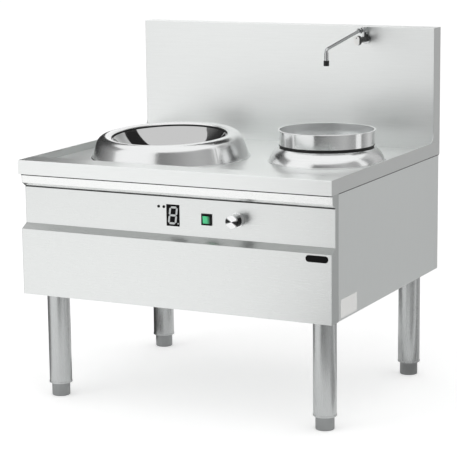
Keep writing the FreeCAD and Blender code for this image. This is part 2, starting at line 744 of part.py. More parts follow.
def side_panel(name, side):
    """Side of the cabinet with a flange folded in at its foot."""
    start = d.seam_setback + d.seam_gap
    end = d.overall_depth - d.plate - d.seat_gap
    piece = Piece(name)
    skin = [
        (SIDE_FACE * side, d.cabinet_base),
        (SIDE_FACE * side, DECK_UNDER),
        (SIDE_INNER * side, DECK_UNDER),
        (SIDE_INNER * side, FLOOR_PANEL),
        ((SIDE_INNER - d.flange) * side, FLOOR_PANEL),
        ((SIDE_INNER - d.flange) * side, d.cabinet_base),
    ]
    piece.pad("XZ", start, end, [skin])
    foot = SIDE_FACE * side
    piece.fillet(d.plate, lambda e: along(e, Y_AXIS) and passes(e, x=foot, z=d.cabinet_base))
    return piece.body


def front_cheek(name, side):
    """End plate of the front, cut to the front's outline."""
    piece = Piece(name)
    outline = [
        (d.lower_recess, d.cabinet_base),
        (d.seam_setback, d.cabinet_base),
        (d.seam_setback, DECK_UNDER),
        (d.apron_recess, DECK_UNDER),
        (APRON_EDGE, APRON_FOOT),
        (d.control_recess, CONSOLE_TOP),
        (d.control_recess, CONSOLE_FOOT),
        (d.lower_recess, LOWER_TOP),
    ]
    low, high = (SIDE_INNER, SIDE_FACE) if side > 0 else (-SIDE_FACE, -SIDE_INNER)
    piece.pad("YZ", low, high, [outline])
    return piece.body


def apron_strip():
    """Bright strip under the rim that leans back and returns to the control panel."""
    piece = Piece("apron_strip")
    hidden = DECK_UNDER - d.plate
    low = CONSOLE_TOP + d.seat_gap
    outline = [
        (d.apron_recess, hidden),
        (APRON_EDGE, APRON_FOOT),
        (d.control_recess, low),
        (CONSOLE_BACK + d.plate, low),
        (CONSOLE_BACK + d.plate, low + d.plate),
        (d.control_recess + d.plate / 2, low + d.plate),
        (APRON_EDGE + d.plate, APRON_FOOT + d.plate / 2),
        (d.apron_recess + d.plate, hidden),
    ]
    piece.pad("YZ", -SIDE_INNER, SIDE_INNER, [outline])
    piece.fillet(d.plate, lambda e: along(e, X_AXIS) and passes(e, y=APRON_EDGE, z=APRON_FOOT))
    return piece.body


def control_panel():
    """Flat panel with the openings for display, lamps, switch and knob."""
    piece = Piece("control_panel")
    outer = rectangle(-SIDE_INNER, SIDE_INNER, CONSOLE_FOOT, CONSOLE_TOP)
    piece.pad("XZ", d.control_recess, CONSOLE_BACK, [outer])
    window = centred(d.window_middle, WINDOW_Z, WINDOW_HOLE_WIDTH, WINDOW_HOLE_HEIGHT)
    switch = centred(d.switch_middle, SWITCH_Z, SWITCH_HOLE, SWITCH_HOLE)
    circles = [
        (d.lens_first, LENS_Z, LENS_HOLE),
        (d.lens_second, LENS_Z, LENS_HOLE),
        (d.knob_middle, KNOB_Z, d.shaft_radius + d.plate),
    ]
    piece.pocket("XZ", d.control_recess, CONSOLE_BACK, [window, switch], circles)
    return piece.body


def lower_front_panel():
    """Large lower panel with the slanted ledge on top and a return at its foot."""
    piece = Piece("lower_front_panel")
    high = CONSOLE_FOOT - d.seat_gap
    back = d.lower_recess + d.flange
    outline = [
        (d.lower_recess, d.cabinet_base),
        (back, d.cabinet_base),
        (back, FLOOR_PANEL),
        (d.lower_recess + d.plate, FLOOR_PANEL),
        (d.lower_recess + d.plate, LOWER_TOP - d.plate),
        (d.control_recess + d.plate / 2, high - d.plate),
        (CONSOLE_BACK + d.plate, high - d.plate),
        (CONSOLE_BACK + d.plate, high),
        (d.control_recess, high),
        (d.lower_recess, LOWER_TOP),
    ]
    piece.pad("YZ", -SIDE_INNER, SIDE_INNER, [outline])

    def outer_fold(edge):
        top = passes(edge, y=d.lower_recess, z=LOWER_TOP)
        foot = passes(edge, y=d.lower_recess, z=d.cabinet_base)
        return along(edge, X_AXIS) and (top or foot)

    piece.fillet(d.plate / 2, outer_fold)
    return piece.body


def rounded(x0, x1, y0, y1, bend):
    """A rectangle with rounded corners."""
    return [
        Arc(x0 + bend, y0, bend),
        (x1 - bend, y0),
        Arc(x1, y0 + bend, bend),
        (x1, y1 - bend),
        Arc(x1 - bend, y1, bend),
        (x0 + bend, y1),
        Arc(x0, y1 - bend, bend),
        (x0, y0 + bend),
    ]


def vents(piece, plane, low, high, middle, level, columns):
    """Rows and columns of slots with rounded corners, cut through a panel."""
    bottom = level - d.slot_pitch * ((SLOT_ROWS - 1) / 2) - d.slot_height / 2
    top = bottom + d.slot_height
    slots = []
    for column in range(columns):
        left = middle + d.slot_column * (column - (columns - 1) / 2) - d.slot_width / 2
        slots.append(rounded(left, left + d.slot_width, bottom, top, d.slot_round))
    cut = piece.pocket(plane, low, high, slots)
    rows = "Z" if plane == "XZ" else "Y"
    piece.repeated("Linear", cut, rows, SLOT_ROWS, d.slot_pitch * (SLOT_ROWS - 1))


def rear_panel():
    """Rear sheet of the cabinet with vent slots, the cable's hole and the inlet's hole."""
    piece = Piece("rear_panel")
    side = SIDE_INNER - d.seat_gap
    outer = rectangle(-side, side, FLOOR_TOP + d.seat_gap, DECK_UNDER - d.seat_gap)
    piece.pad("XZ", REAR_INNER, REAR_FACE, [outer])
    circles = [
        (-d.gland_left, d.gland_height, d.gland_thread + d.seat_gap),
        (d.tap_right, d.inlet_height, d.supply_radius + d.plate),
    ]
    piece.pocket("XZ", REAR_INNER, REAR_FACE, circles=circles)
    vents(piece, "XZ", REAR_INNER, REAR_FACE, d.power_middle, POWER_Z, SLOT_COLUMNS)
    return piece.body


def bottom_panel():
    """Floor of the cabinet with a hole over each leg and slots under the power unit."""
    piece = Piece("bottom_panel")
    side = SIDE_INNER - d.seat_gap
    outer = rectangle(-side, side, d.lower_recess + d.plate + d.seat_gap, REAR_FACE)
    piece.pad("XY", FLOOR_PANEL, FLOOR_TOP, [outer])
    circles = [(LEG_X * way, y, SPIGOT_RADIUS + d.seat_gap) for _, way, y in LEG_SPOTS]
    piece.pocket("XY", FLOOR_PANEL, FLOOR_TOP, circles=circles)
    vents(piece, "XY", FLOOR_PANEL, FLOOR_TOP, d.power_middle, d.power_back, FLOOR_COLUMNS)
    return piece.body


# ---------------------------------------------------------------------------
# Legs and frame
# ---------------------------------------------------------------------------
LEG_SPOTS = (
    ("front_left", -1, d.leg_front),
    ("front_right", 1, d.leg_front),
    ("rear_left", -1, d.leg_rear),
    ("rear_right", 1, d.leg_rear),
)


def base_frame():
    """Welded frame of folded channel over the legs, open below."""
    piece = Piece("base_frame")
    half = d.frame_rail / 2
    wall = d.frame_wall
    front = d.leg_front - half
    rear = d.leg_rear + half
    outer = rectangle(-LEG_X - half, LEG_X + half, front, rear)
    inner = rectangle(-LEG_X + half, LEG_X - half, front + d.frame_rail, rear - d.frame_rail)
    top = SOCKET_TOP + d.frame_height
    piece.pad("XY", SOCKET_TOP, top, [outer, inner])
    half = half - wall
    hollow = rectangle(-LEG_X - half, LEG_X + half, front + wall, rear - wall)
    rail = d.frame_rail - wall
    core = rectangle(-LEG_X + half, LEG_X - half, front + rail, rear - rail)
    piece.pocket("XY", SOCKET_TOP, top - wall, [hollow, core])
    return piece.body


def leg_sockets():
    """Four plates with spigots that carry the leg tubes."""
    parts = []
    low = d.cabinet_base - d.socket_depth
    bore = SPIGOT_RADIUS - d.socket_wall
    for place, way, y in LEG_SPOTS:
        piece = Piece(f"socket_{place}", x=LEG_X * way, y=y)
        plate = centred(ZERO, ZERO, d.socket_size, d.socket_size)
        piece.pad("XY", FLOOR_TOP, SOCKET_TOP, [plate])
        piece.pad("XY", low, FLOOR_TOP, circles=[(ZERO, ZERO, SPIGOT_RADIUS)])
        piece.pocket("XY", low, SOCKET_TOP, circles=[(ZERO, ZERO, bore)])
        parts.append(piece.body)
    return group("leg_sockets", parts)


def leg(place, way, y):
    """Leg tube with a bead and a threaded plug at its lower end."""
    piece = Piece(f"leg_{place}", x=LEG_X * way, y=y)
    low = d.foot_height + d.seat_gap
    bead = d.leg_radius + d.leg_bead
    bead_top = low + d.leg_bead_height
    bore = d.foot_stem_radius + d.running_gap
    piece.turned([
        (bore, low),
        (d.leg_radius, low),
        Arc(bead, low + d.leg_bead, d.leg_bead),
        (bead, bead_top - d.leg_bead),
        Arc(d.leg_radius, bead_top, d.leg_bead),
        (d.leg_radius, FLOOR_PANEL),
        (LEG_INNER, FLOOR_PANEL),
        (LEG_INNER, low + d.plug_height),
        (bore, low + d.plug_height),
    ])
    return piece.body


def foot(place, way, y):
    """Levelling foot with its threaded stem."""
    piece = Piece(f"foot_{place}", x=LEG_X * way, y=y)
    top = d.foot_height + d.foot_stem_length
    piece.turned([
        (ZERO, ZERO),
        (d.foot_radius - d.plate, ZERO),
        (d.foot_radius, d.plate),
        (d.foot_radius, d.foot_height - d.plate),
        (d.foot_radius - d.plate, d.foot_height),
        (d.foot_stem_radius, d.foot_height),
        (d.foot_stem_radius, top - d.plate),
        (d.foot_stem_radius - d.plate, top),
        (ZERO, top),
    ])
    return piece.body


# ---------------------------------------------------------------------------
# Wok hob, drawn about an axis that leans forward
# ---------------------------------------------------------------------------
def toward(point, target, share):
    """A point part of the way from one point to another."""
    return tuple(p + (t - p) * share for p, t in zip(point, target))


def arc_centre(name, a, b, radius):
    """Centre of an arc that turns right from a to b."""
    dx, dy = b[0] - a[0], b[1] - a[1]
    chord = derived(f"{name}_chord", root(dx * dx + dy * dy))
    rise = derived(f"{name}_rise", root(radius * radius - chord * chord / 4))
    x = derived(f"{name}_centre_x", (a[0] + b[0]) / 2 + dy * rise / chord)
    y = derived(f"{name}_centre_y", (a[1] + b[1]) / 2 - dx * rise / chord)
    return x, y


WOK_EDGE = (d.wok_open_radius, d.wok_edge_height)
WOK_SHOULDER = (d.wok_shoulder_radius, d.wok_edge_height - d.wok_shoulder_drop)
WOK_CENTRE = arc_centre("wok_bead", WOK_EDGE, WOK_SHOULDER, d.wok_bead_radius)
BEAD_SHARE = derived("bead_share", d.ring_wall / d.wok_bead_radius)
WOK_EDGE_INNER = toward(WOK_EDGE, WOK_CENTRE, BEAD_SHARE)
WOK_SHOULDER_INNER = toward(WOK_SHOULDER, WOK_CENTRE, BEAD_SHARE)
GLASS_TOP = derived("glass_top", WOK_EDGE_INNER[1] - d.seat_gap - d.seal_height)
BOWL_SPHERE = derived(
    "bowl_sphere", (d.bowl_radius * d.bowl_radius / d.bowl_depth + d.bowl_depth) / 2
)
BOWL_CENTRE = derived("bowl_centre", GLASS_TOP - d.bowl_depth + BOWL_SPHERE)
COIL_INNER = derived("coil_inner", BOWL_SPHERE + d.glass + d.coil_gap)
COIL_OUTER = derived("coil_outer", COIL_INNER + d.coil_thickness)
CRADLE_INNER = derived("cradle_inner", COIL_OUTER + d.seat_gap)
CRADLE_OUTER = derived("cradle_outer", CRADLE_INNER + d.cradle_wall)


def leaning(name):
    """A piece on the wok hob's leaning axis, from the deck up."""
    piece = Piece(name, x=-d.wok_left, y=d.wok_back, z=DECK)
    piece.tilt(d.wok_tilt)
    return piece


def on_sphere(radius, angle):
    """A point under the bowl's centre, as radius and height."""
    return radius * sine(angle), BOWL_CENTRE - radius * cosine(angle)


def shell_outline(inner, outer, low_angle, high_angle):
    """Section of a bowl-shaped shell between two angles."""
    return [
        on_sphere(inner, low_angle),
        Arc(*on_sphere(inner, high_angle), inner),
        on_sphere(outer, high_angle),
        Arc(*on_sphere(outer, low_angle), outer, left=False),
    ]


def wok_ring():
    """Raised ring with a rounded top, cut to stand level on the deck."""
    piece = leaning("wok_ring")
    sink = d.wok_base_radius * sine(d.wok_tilt) + d.plate * 2
    spread = (d.wok_base_radius - d.wok_shoulder_radius) / WOK_SHOULDER[1]
    foot_radius = d.wok_base_radius + spread * sink
    piece.turned([
        WOK_EDGE,
        Arc(*WOK_SHOULDER, d.wok_bead_radius, left=False),
        (foot_radius, -sink),
        (foot_radius - d.ring_wall, -sink),
        WOK_SHOULDER_INNER,
        Arc(*WOK_EDGE_INNER, d.wok_bead_radius - d.ring_wall),
    ])
    span = d.wok_base_radius * 3
    below = centred(ZERO, ZERO, span, span)
    piece.pocket("XY", -sink * 3, ZERO, [below], turn=-d.wok_tilt)
    return piece.body


def glass_bowl():
    """Hollow glass for the wok, with a flat lip under the ring's edge."""
    piece = leaning("glass_bowl")
    bottom = GLASS_TOP - d.bowl_depth
    under = GLASS_TOP - d.glass
    outer = BOWL_SPHERE + d.glass
    rise = BOWL_CENTRE - under
    piece.turned([
        (ZERO, bottom),
        Arc(d.bowl_radius, GLASS_TOP, BOWL_SPHERE),
        (d.bowl_lip_radius, GLASS_TOP),
        (d.bowl_lip_radius, under),
        (root(outer * outer - rise * rise), under),
        Arc(ZERO, bottom - d.glass, outer, left=False),
    ])
    return piece.body


def bowl_seal():
    """Seal between the glass and the ring's edge."""
    piece = leaning("bowl_seal")
    inner = d.bowl_lip_radius - d.seal_width
    piece.turned(rectangle(inner, d.bowl_lip_radius, GLASS_TOP, GLASS_TOP + d.seal_height))
    return piece.body


def wok_coil():
    """Coil wound to the shape of the bowl."""
    piece = leaning("wok_coil")
    piece.turned(shell_outline(COIL_INNER, COIL_OUTER, d.coil_inner_angle, d.coil_outer_angle))
    return piece.body


def wok_coil_cradle():
    """Shell that carries the wok coil, on four posts from the cabinet's floor."""
    shell = leaning("wok_cradle_shell")
    edge = d.coil_outer_angle + d.cradle_margin_angle
    shell.turned(shell_outline(CRADLE_INNER, CRADLE_OUTER, d.cradle_hole_angle, edge))
    ball = doc.addObject("Part::Sphere", "wok_cradle_ball")
    bind(ball, "Radius", CRADLE_INNER + d.cradle_wall / 2)
    back = d.wok_back - BOWL_CENTRE * sine(d.wok_tilt)
    stand(ball, -d.wok_left, back, DECK + BOWL_CENTRE * cosine(d.wok_tilt))
    posts = []
    for i in range(POSTS):
        angle = as_size(360 / POSTS * (i + 1 / 4))
        x = -d.wok_left + d.post_circle * cosine(angle)
        y = d.wok_back + d.post_circle * sine(angle)
        name = f"wok_post_{i + 1}"
        posts.append(rod(name, x, y, FLOOR_TOP, d.post_radius, DECK - FLOOR_TOP))
    stands = less("wok_cradle_posts", joined("wok_cradle_bars", posts), ball)
    return joined("wok_coil_cradle", [shell.body, stands])


def ferrite_bars():
    """Bars under the wok cradle, carried by a band."""
    piece = leaning("ferrite_bars")
    angle = (d.coil_inner_angle + d.coil_outer_angle) / 2
    near = CRADLE_OUTER + d.seat_gap
    inset = d.ferrite_height / 4

    def place(radius, shift):
        r, h = on_sphere(radius, angle)
        return r + cosine(angle) * shift, h + sine(angle) * shift

    def block(length, low, high):
        half = length / 2
        return [place(low, -half), place(high, -half), place(high, half), place(low, half)]

    far = near + d.ferrite_height
    piece.turned(block(d.ferrite_band, near + inset, far - inset))
    half_width = d.ferrite_width / 2
    bar = piece.pad("XZ", -half_width, half_width, [block(d.ferrite_length, near, far)])
    piece.repeated("Polar", bar, "Z", FERRITES)
    return piece.body


def bowl_sensor():
    """Sleeve with a temperature sensor that touches the glass from below."""
    piece = leaning("bowl_sensor")
    tip = GLASS_TOP - d.bowl_depth - d.glass - d.seat_gap
    flange = BOWL_CENTRE - CRADLE_OUTER * cosine(d.cradle_hole_angle) - d.seat_gap
    lower = flange - d.sensor_flange_height
    end = lower - d.sensor_tail
    piece.turned([
        (ZERO, end),
        (d.sensor_radius, end),
        (d.sensor_radius, lower),
        (d.sensor_flange, lower),
        (d.sensor_flange, flange),
        (d.sensor_radius, flange),
        (d.sensor_radius, tip),
        (ZERO, tip),
    ])
    return piece.body


# ---------------------------------------------------------------------------
# Soup pot hob
# ---------------------------------------------------------------------------
SEAL_TOP = derived("seal_top", d.pot_collar_height + d.pot_seal_height)
LIP_TOP = derived("lip_top", SEAL_TOP + d.pot_ring_height)
SHELF_TOP = derived("shelf_top", LIP_TOP - d.pot_shelf_drop)
FLANGE_UNDER = derived("flange_under", SHELF_TOP + d.seat_gap)
FLANGE_TOP = derived("flange_top", FLANGE_UNDER + d.pot_wall)
POT_BOTTOM = derived("pot_bottom", FLANGE_TOP - d.pot_depth)
RING_INNER = derived("ring_inner", d.pot_ring_radius - d.pot_ring_wall)
WINDING_INNER = derived("winding_inner", d.pot_radius + d.pot_coil_gap)
WINDING_OUTER = derived("winding_outer", WINDING_INNER + d.pot_coil_thickness)
WINDING_FOOT = derived("winding_foot", POT_BOTTOM + d.pot_corner)
WINDING_TOP = derived("winding_top", WINDING_FOOT + d.pot_coil_height)


def over_pot_hole(name):
    """A piece on the pot's axis, from the deck up."""
    return Piece(name, x=d.pot_right, y=d.pot_back, z=DECK)


def pot_collar():
    """Collar with a bulging skirt and a flat top."""
    piece = over_pot_hole("pot_collar")
    height = d.pot_collar_height
    wall = d.ring_wall
    piece.turned([
        Arc(d.pot_base_radius - wall, ZERO, d.pot_collar_bulge - wall, left=False),
        (d.pot_base_radius, ZERO),
        Arc(d.pot_shoulder_radius, height, d.pot_collar_bulge),
        (d.pot_collar_bore, height),
        (d.pot_collar_bore, height - wall),
        (d.pot_shoulder_radius, height - wall),
    ])
    return piece.body


def pot_seal():
    """Dark seal between the collar and the pot's ring."""
    piece = over_pot_hole("pot_seal")
    inner = d.pot_seal_radius - d.pot_seal_width
    piece.turned(rectangle(inner, d.pot_seal_radius, d.pot_collar_height, SEAL_TOP))
    return piece.body


def pot_ring():
    """Upright band with a lip on top and a shelf inside that carries the soup pot."""
    piece = over_pot_hole("pot_ring")
    wall = d.pot_ring_wall
    seat = d.pot_seal_radius - d.pot_seal_width
    shelf = RING_INNER - d.pot_shelf_width
    lip = d.pot_ring_radius + d.pot_lip
    piece.turned([
        (seat, SEAL_TOP),
        (d.pot_ring_radius, SEAL_TOP),
        (d.pot_ring_radius, LIP_TOP - wall),
        (lip, LIP_TOP - wall),
        (lip, LIP_TOP),
        (RING_INNER, LIP_TOP),
        (RING_INNER, SHELF_TOP),
        (shelf, SHELF_TOP),
        (shelf, SHELF_TOP - wall),
        (RING_INNER, SHELF_TOP - wall),
        (RING_INNER, SEAL_TOP + wall),
        (seat, SEAL_TOP + wall),
    ])
    piece.fillet(wall / 3, lambda e: passes(e, z=LIP_TOP) and isinstance(e.Curve, Part.Circle))
    return piece.body


def soup_pot():
    """Lift-out deep pot that hangs by its flat flange."""
    piece = over_pot_hole("soup_pot")
    wall = d.pot_wall
    inner = d.pot_radius - wall
    floor = POT_BOTTOM + wall
    neck = d.pot_neck
    knee = WINDING_FOOT
    piece.turned([
        (ZERO, POT_BOTTOM),
        (d.pot_radius - d.pot_corner, POT_BOTTOM),
        Arc(d.pot_radius, knee, d.pot_corner),
        (d.pot_radius, FLANGE_UNDER - neck),
        Arc(d.pot_radius + neck, FLANGE_UNDER, neck, left=False),
        (d.pot_flange_radius, FLANGE_UNDER),
        (d.pot_flange_radius, FLANGE_TOP),
        (d.pot_radius + neck, FLANGE_TOP),
        Arc(inner, FLANGE_UNDER - neck, neck + wall),
        (inner, knee),
        Arc(d.pot_radius - d.pot_corner, floor, d.pot_corner - wall, left=False),
        (ZERO, floor),
    ])
    return piece.body


def pot_coil():
    """Upright winding round the soup pot."""
    piece = over_pot_hole("pot_coil")
    piece.turned(rectangle(WINDING_INNER, WINDING_OUTER, WINDING_FOOT, WINDING_TOP))
    return piece.body


def pot_coil_cradle():
    """Cup that carries the pot's winding, on four posts from the cabinet's floor."""
    piece = over_pot_hole("pot_coil_cradle")
    inner = WINDING_OUTER + d.seat_gap
    outer = inner + d.cradle_wall
    floor = POT_BOTTOM - d.pot_coil_gap
    low = floor - d.cradle_wall
    piece.turned([
        (d.pot_cradle_hole, low),
        (outer, low),
        (outer, WINDING_TOP),
        (inner, WINDING_TOP),
        (inner, WINDING_FOOT - d.seat_gap),
        (WINDING_INNER, WINDING_FOOT - d.seat_gap),
        (WINDING_INNER, floor),
        (d.pot_cradle_hole, floor),
    ])
    circles = []
    for i in range(POSTS):
        angle = as_size(360 / POSTS * (i + 1 / 2))
        x, y = d.pot_post_circle * cosine(angle), d.pot_post_circle * sine(angle)
        circles.append((x, y, d.post_radius))
    piece.pad("XY", FLOOR_TOP - DECK, low, circles=circles)
    return piece.body


# ---------------------------------------------------------------------------
# Controls
# ---------------------------------------------------------------------------
WINDOW_Z = derived("window_z", CONSOLE_TOP - d.window_drop)
WINDOW_HOLE_WIDTH = derived("window_hole_width", d.window_width - d.plate * 2)
WINDOW_HOLE_HEIGHT = derived("window_hole_height", d.window_height - d.plate * 2)
LENS_Z = derived("lens_z", CONSOLE_TOP - d.lens_drop)
LENS_HOLE = derived("lens_hole", d.lens_radius - d.plate)
SWITCH_Z = derived("switch_z", CONSOLE_TOP - d.switch_drop)
SWITCH_HOLE = derived("switch_hole", d.switch_size - d.switch_lap * 2)
SWITCH_FRONT = derived("switch_front", d.control_recess - d.switch_proud)
SWITCH_RECESS = derived("switch_recess", d.switch_size - d.switch_border * 2)
PIVOT_Y = derived("pivot_y", SWITCH_FRONT - d.rocker_proud + d.rocker_front)
KNOB_Z = derived("knob_z", CONSOLE_TOP - d.knob_drop)
KNOB_FOOT = derived("knob_foot", d.control_recess - d.knob_gap)
GRIP_FACE = derived("grip_face", KNOB_FACE + d.knob_cap)
BOARD_FACE = derived("board_face", CONSOLE_BACK + d.board_gap)
BOARD_BACK = derived("board_back", BOARD_FACE + d.board)
SHAFT_END = derived("shaft_end", BOARD_BACK + d.encoder_bore)


def display_window():
    """Dark window over the panel's opening."""
    piece = Piece("display_window", x=d.window_middle, z=WINDOW_Z)
    face = centred(ZERO, ZERO, d.window_width, d.window_height)
    piece.pad("XZ", d.control_recess - d.window_proud, d.control_recess, [face])
    gap = d.seat_gap * 2
    boss = centred(ZERO, ZERO, WINDOW_HOLE_WIDTH - gap, WINDOW_HOLE_HEIGHT - gap)
    piece.pad("XZ", d.control_recess, CONSOLE_BACK + d.window_depth, [boss])
    piece.fillet(d.window_round, lambda e: along(e, Y_AXIS))
    return piece.body


def indicator_lenses():
    """Two round lenses, each with a stem through the panel."""
    parts = []
    for i, x in enumerate((d.lens_first, d.lens_second), start=1):
        front = d.control_recess - d.lens_proud
        head = rod(f"lens_head_{i}", x, front, LENS_Z, d.lens_radius, d.lens_proud, Y_AXIS)
        reach = d.lens_proud + d.plate + d.window_depth
        radius = LENS_HOLE - d.seat_gap
        stem = rod(f"lens_stem_{i}", x, front, LENS_Z, radius, reach, Y_AXIS)
        parts.append(joined(f"lens_{i}", [head, stem]))
    return group("indicator_lenses", parts)


def switch_housing():
    """Bezel and housing of the rocker switch."""
    piece = Piece("switch_housing", x=d.switch_middle, z=SWITCH_Z)
    bezel = centred(ZERO, ZERO, d.switch_size, d.switch_size)
    piece.pad("XZ", SWITCH_FRONT, d.control_recess, [bezel])
    side = SWITCH_HOLE - d.seat_gap * 2
    piece.pad("XZ", d.control_recess, CONSOLE_BACK + d.switch_depth, [centred(ZERO, ZERO, side, side)])
    recess = centred(ZERO, ZERO, SWITCH_RECESS, SWITCH_RECESS)
    piece.pocket("XZ", SWITCH_FRONT, SWITCH_FRONT + d.switch_cavity, [recess])
    reach = SWITCH_RECESS / 2 + d.rocker_pin_length
    pin = (PIVOT_Y, ZERO, d.rocker_pin_radius + d.running_gap)
    piece.pocket("YZ", -reach, reach, circles=[pin])
    return piece.body


def rocker_button():
    """Rocker on two pins, with a slightly hollow face, at rest with its top out."""
    piece = Piece("rocker_button", x=d.switch_middle, y=PIVOT_Y, z=SWITCH_Z)
    piece.tilt(d.rocker_tilt)
    half_width = SWITCH_RECESS / 2 - d.seat_gap
    half = d.rocker_height / 2
    side = [
        (-d.rocker_front, -half),
        (d.rocker_back, -half + d.rocker_back),
        (d.rocker_back, half - d.rocker_back),
        (-d.rocker_front, half),
        (d.rocker_dip - d.rocker_front, ZERO),
    ]
    piece.pad("YZ", -half_width, half_width, [side])
    reach = SWITCH_RECESS / 2 + d.rocker_pin_length - d.seat_gap
    piece.pad("YZ", -reach, reach, circles=[(ZERO, ZERO, d.rocker_pin_radius)])
    return piece.body


def at_knob(name):
    """A piece on the knob's axis."""
    return Piece(name, x=d.knob_middle, z=KNOB_Z)


def knob():
    """Grooved grip of the knob with its collar and a blind bore for the shaft."""
    piece = at_knob("knob")
    grip = d.knob_radius - d.knob_step
    bore = d.shaft_radius + d.running_gap
    collar = KNOB_FOOT - d.knob_skirt
    end = KNOB_FOOT - d.knob_bore
    piece.turned([
        (GRIP_FACE, ZERO),
        (GRIP_FACE, grip),
        (collar, grip),
        (collar, d.knob_skirt_radius),
        (KNOB_FOOT, d.knob_skirt_radius),
        (KNOB_FOOT, bore),
        (end, bore),
        (end, ZERO),
    ], axis="Y")
    flute = piece.pocket("XZ", GRIP_FACE, collar, circles=[(grip, ZERO, d.knob_flute)])
    piece.repeated("Polar", flute, "Y", FLUTES)
    return piece.body


def knob_cap():
    """Bright cap on the front of the knob."""
    piece = at_knob("knob_cap")
    piece.pad("XZ", KNOB_FACE, GRIP_FACE, circles=[(ZERO, ZERO, d.knob_radius)])
    piece.fillet(d.knob_edge, lambda e: passes(e, y=KNOB_FACE))
    return piece.body


def knob_shaft():
    """Shaft from the knob into the encoder."""
    start = KNOB_FOOT - d.knob_bore + d.seat_gap
    end = SHAFT_END - d.seat_gap
    return rod("knob_shaft", d.knob_middle, start, KNOB_Z, d.shaft_radius, end - start, Y_AXIS)


def encoder():
    """Rotary encoder behind the control board."""
    piece = at_knob("encoder")
    body = centred(ZERO, ZERO, d.encoder_size, d.encoder_size)
    piece.pad("XZ", BOARD_BACK, BOARD_BACK + d.encoder_depth, [body])
    bore = (ZERO, ZERO, d.shaft_radius + d.running_gap)
    piece.pocket("XZ", BOARD_BACK, SHAFT_END, circles=[bore])
    return piece.body


def control_board():
    """Circuit board on four standoffs behind the control panel."""
    piece = Piece("control_board")
    left = d.lens_first - d.board_margin
    right = d.knob_middle + d.board_margin
    low, high = KNOB_Z - d.board_half, KNOB_Z + d.board_half
    piece.pad("XZ", BOARD_FACE, BOARD_BACK, [rectangle(left, right, low, high)])
    side = SWITCH_HOLE + d.plate
    gap = centred(d.switch_middle, SWITCH_Z, side, side)
    shaft = (d.knob_middle, KNOB_Z, d.shaft_radius + d.plate)
    piece.pocket("XZ", BOARD_FACE, BOARD_BACK, [gap], [shaft])
    inset = d.standoff_radius * 2
    spots = [(x, z, d.standoff_radius) for x in (left + inset, right - inset)
             for z in (low + inset, high - inset)]
    piece.pad("XZ", CONSOLE_BACK, BOARD_FACE, circles=spots)
    return piece.body


# ---------------------------------------------------------------------------
# Power unit
# ---------------------------------------------------------------------------
POWER_LOW = derived("power_low", FLOOR_TOP + d.power_rise)
POWER_TOP = derived("power_top", POWER_LOW + d.power_height)
POWER_Z = derived("power_z", POWER_LOW + d.power_height / 2)
POWER_REAR = derived("power_rear", d.power_back + d.power_depth / 2)
STRUT_FACE = derived("strut_face", POWER_REAR + d.fan_depth - d.fan_strut_depth)


def power_unit_case():
    """Case of the power unit on four feet."""
    piece = Piece("power_unit_case", x=d.power_middle, y=d.power_back)
    outline = centred(ZERO, ZERO, d.power_width, d.power_depth)
    piece.pad("XY", POWER_LOW, POWER_TOP, [outline])
    x = d.power_width / 2 - d.power_foot_inset
    y = d.power_depth / 2 - d.power_foot_inset
    spots = [(x * sx, y * sy, d.power_foot) for sx in (-1, 1) for sy in (-1, 1)]
    piece.pad("XY", FLOOR_TOP, POWER_LOW, circles=spots)
    piece.fillet(d.plate, lambda e: along(e, Z_AXIS) and e.Length > d.power_rise.value * 2)
    return piece.body


def heat_sink():
    """Finned heat sink on top of the power unit."""
    piece = Piece("heat_sink", x=d.power_middle, y=d.power_back)
    piece.pad("XY", POWER_TOP, POWER_TOP + d.sink_base,
              [centred(ZERO, ZERO, d.sink_width, d.sink_length)])
    pitch = (d.sink_width - d.fin) / (FINS - 1)
    half = d.sink_length / 2
    left = -d.sink_width / 2
    fins = [rectangle(left + pitch * i, left + pitch * i + d.fin, -half, half)
            for i in range(FINS)]
    piece.pad("XY", POWER_TOP + d.sink_base, POWER_TOP + d.sink_height, fins)
    return piece.body


def at_fan(name):
    """A piece on the fan's axis."""
    return Piece(name, x=d.power_middle, z=POWER_Z)


def fan_frame():
    """Square fan frame with struts and a spindle."""
    piece = at_fan("fan_frame")
    square = centred(ZERO, ZERO, d.fan_size, d.fan_size)
    rear = POWER_REAR + d.fan_depth
    piece.pad("XZ", POWER_REAR, rear, [square], [(ZERO, ZERO, d.fan_bore)])
    reach = d.fan_bore * 2 + d.plate
    for width, height in ((reach, d.fan_strut), (d.fan_strut, reach)):
        piece.pad("XZ", STRUT_FACE, rear, [centred(ZERO, ZERO, width, height)])
    piece.pad("XZ", STRUT_FACE, rear, circles=[(ZERO, ZERO, d.fan_hub_radius)])
    spindle = (ZERO, ZERO, d.fan_spindle)
    piece.pad("XZ", STRUT_FACE - d.fan_spindle_length, STRUT_FACE, circles=[spindle])
    return piece.body


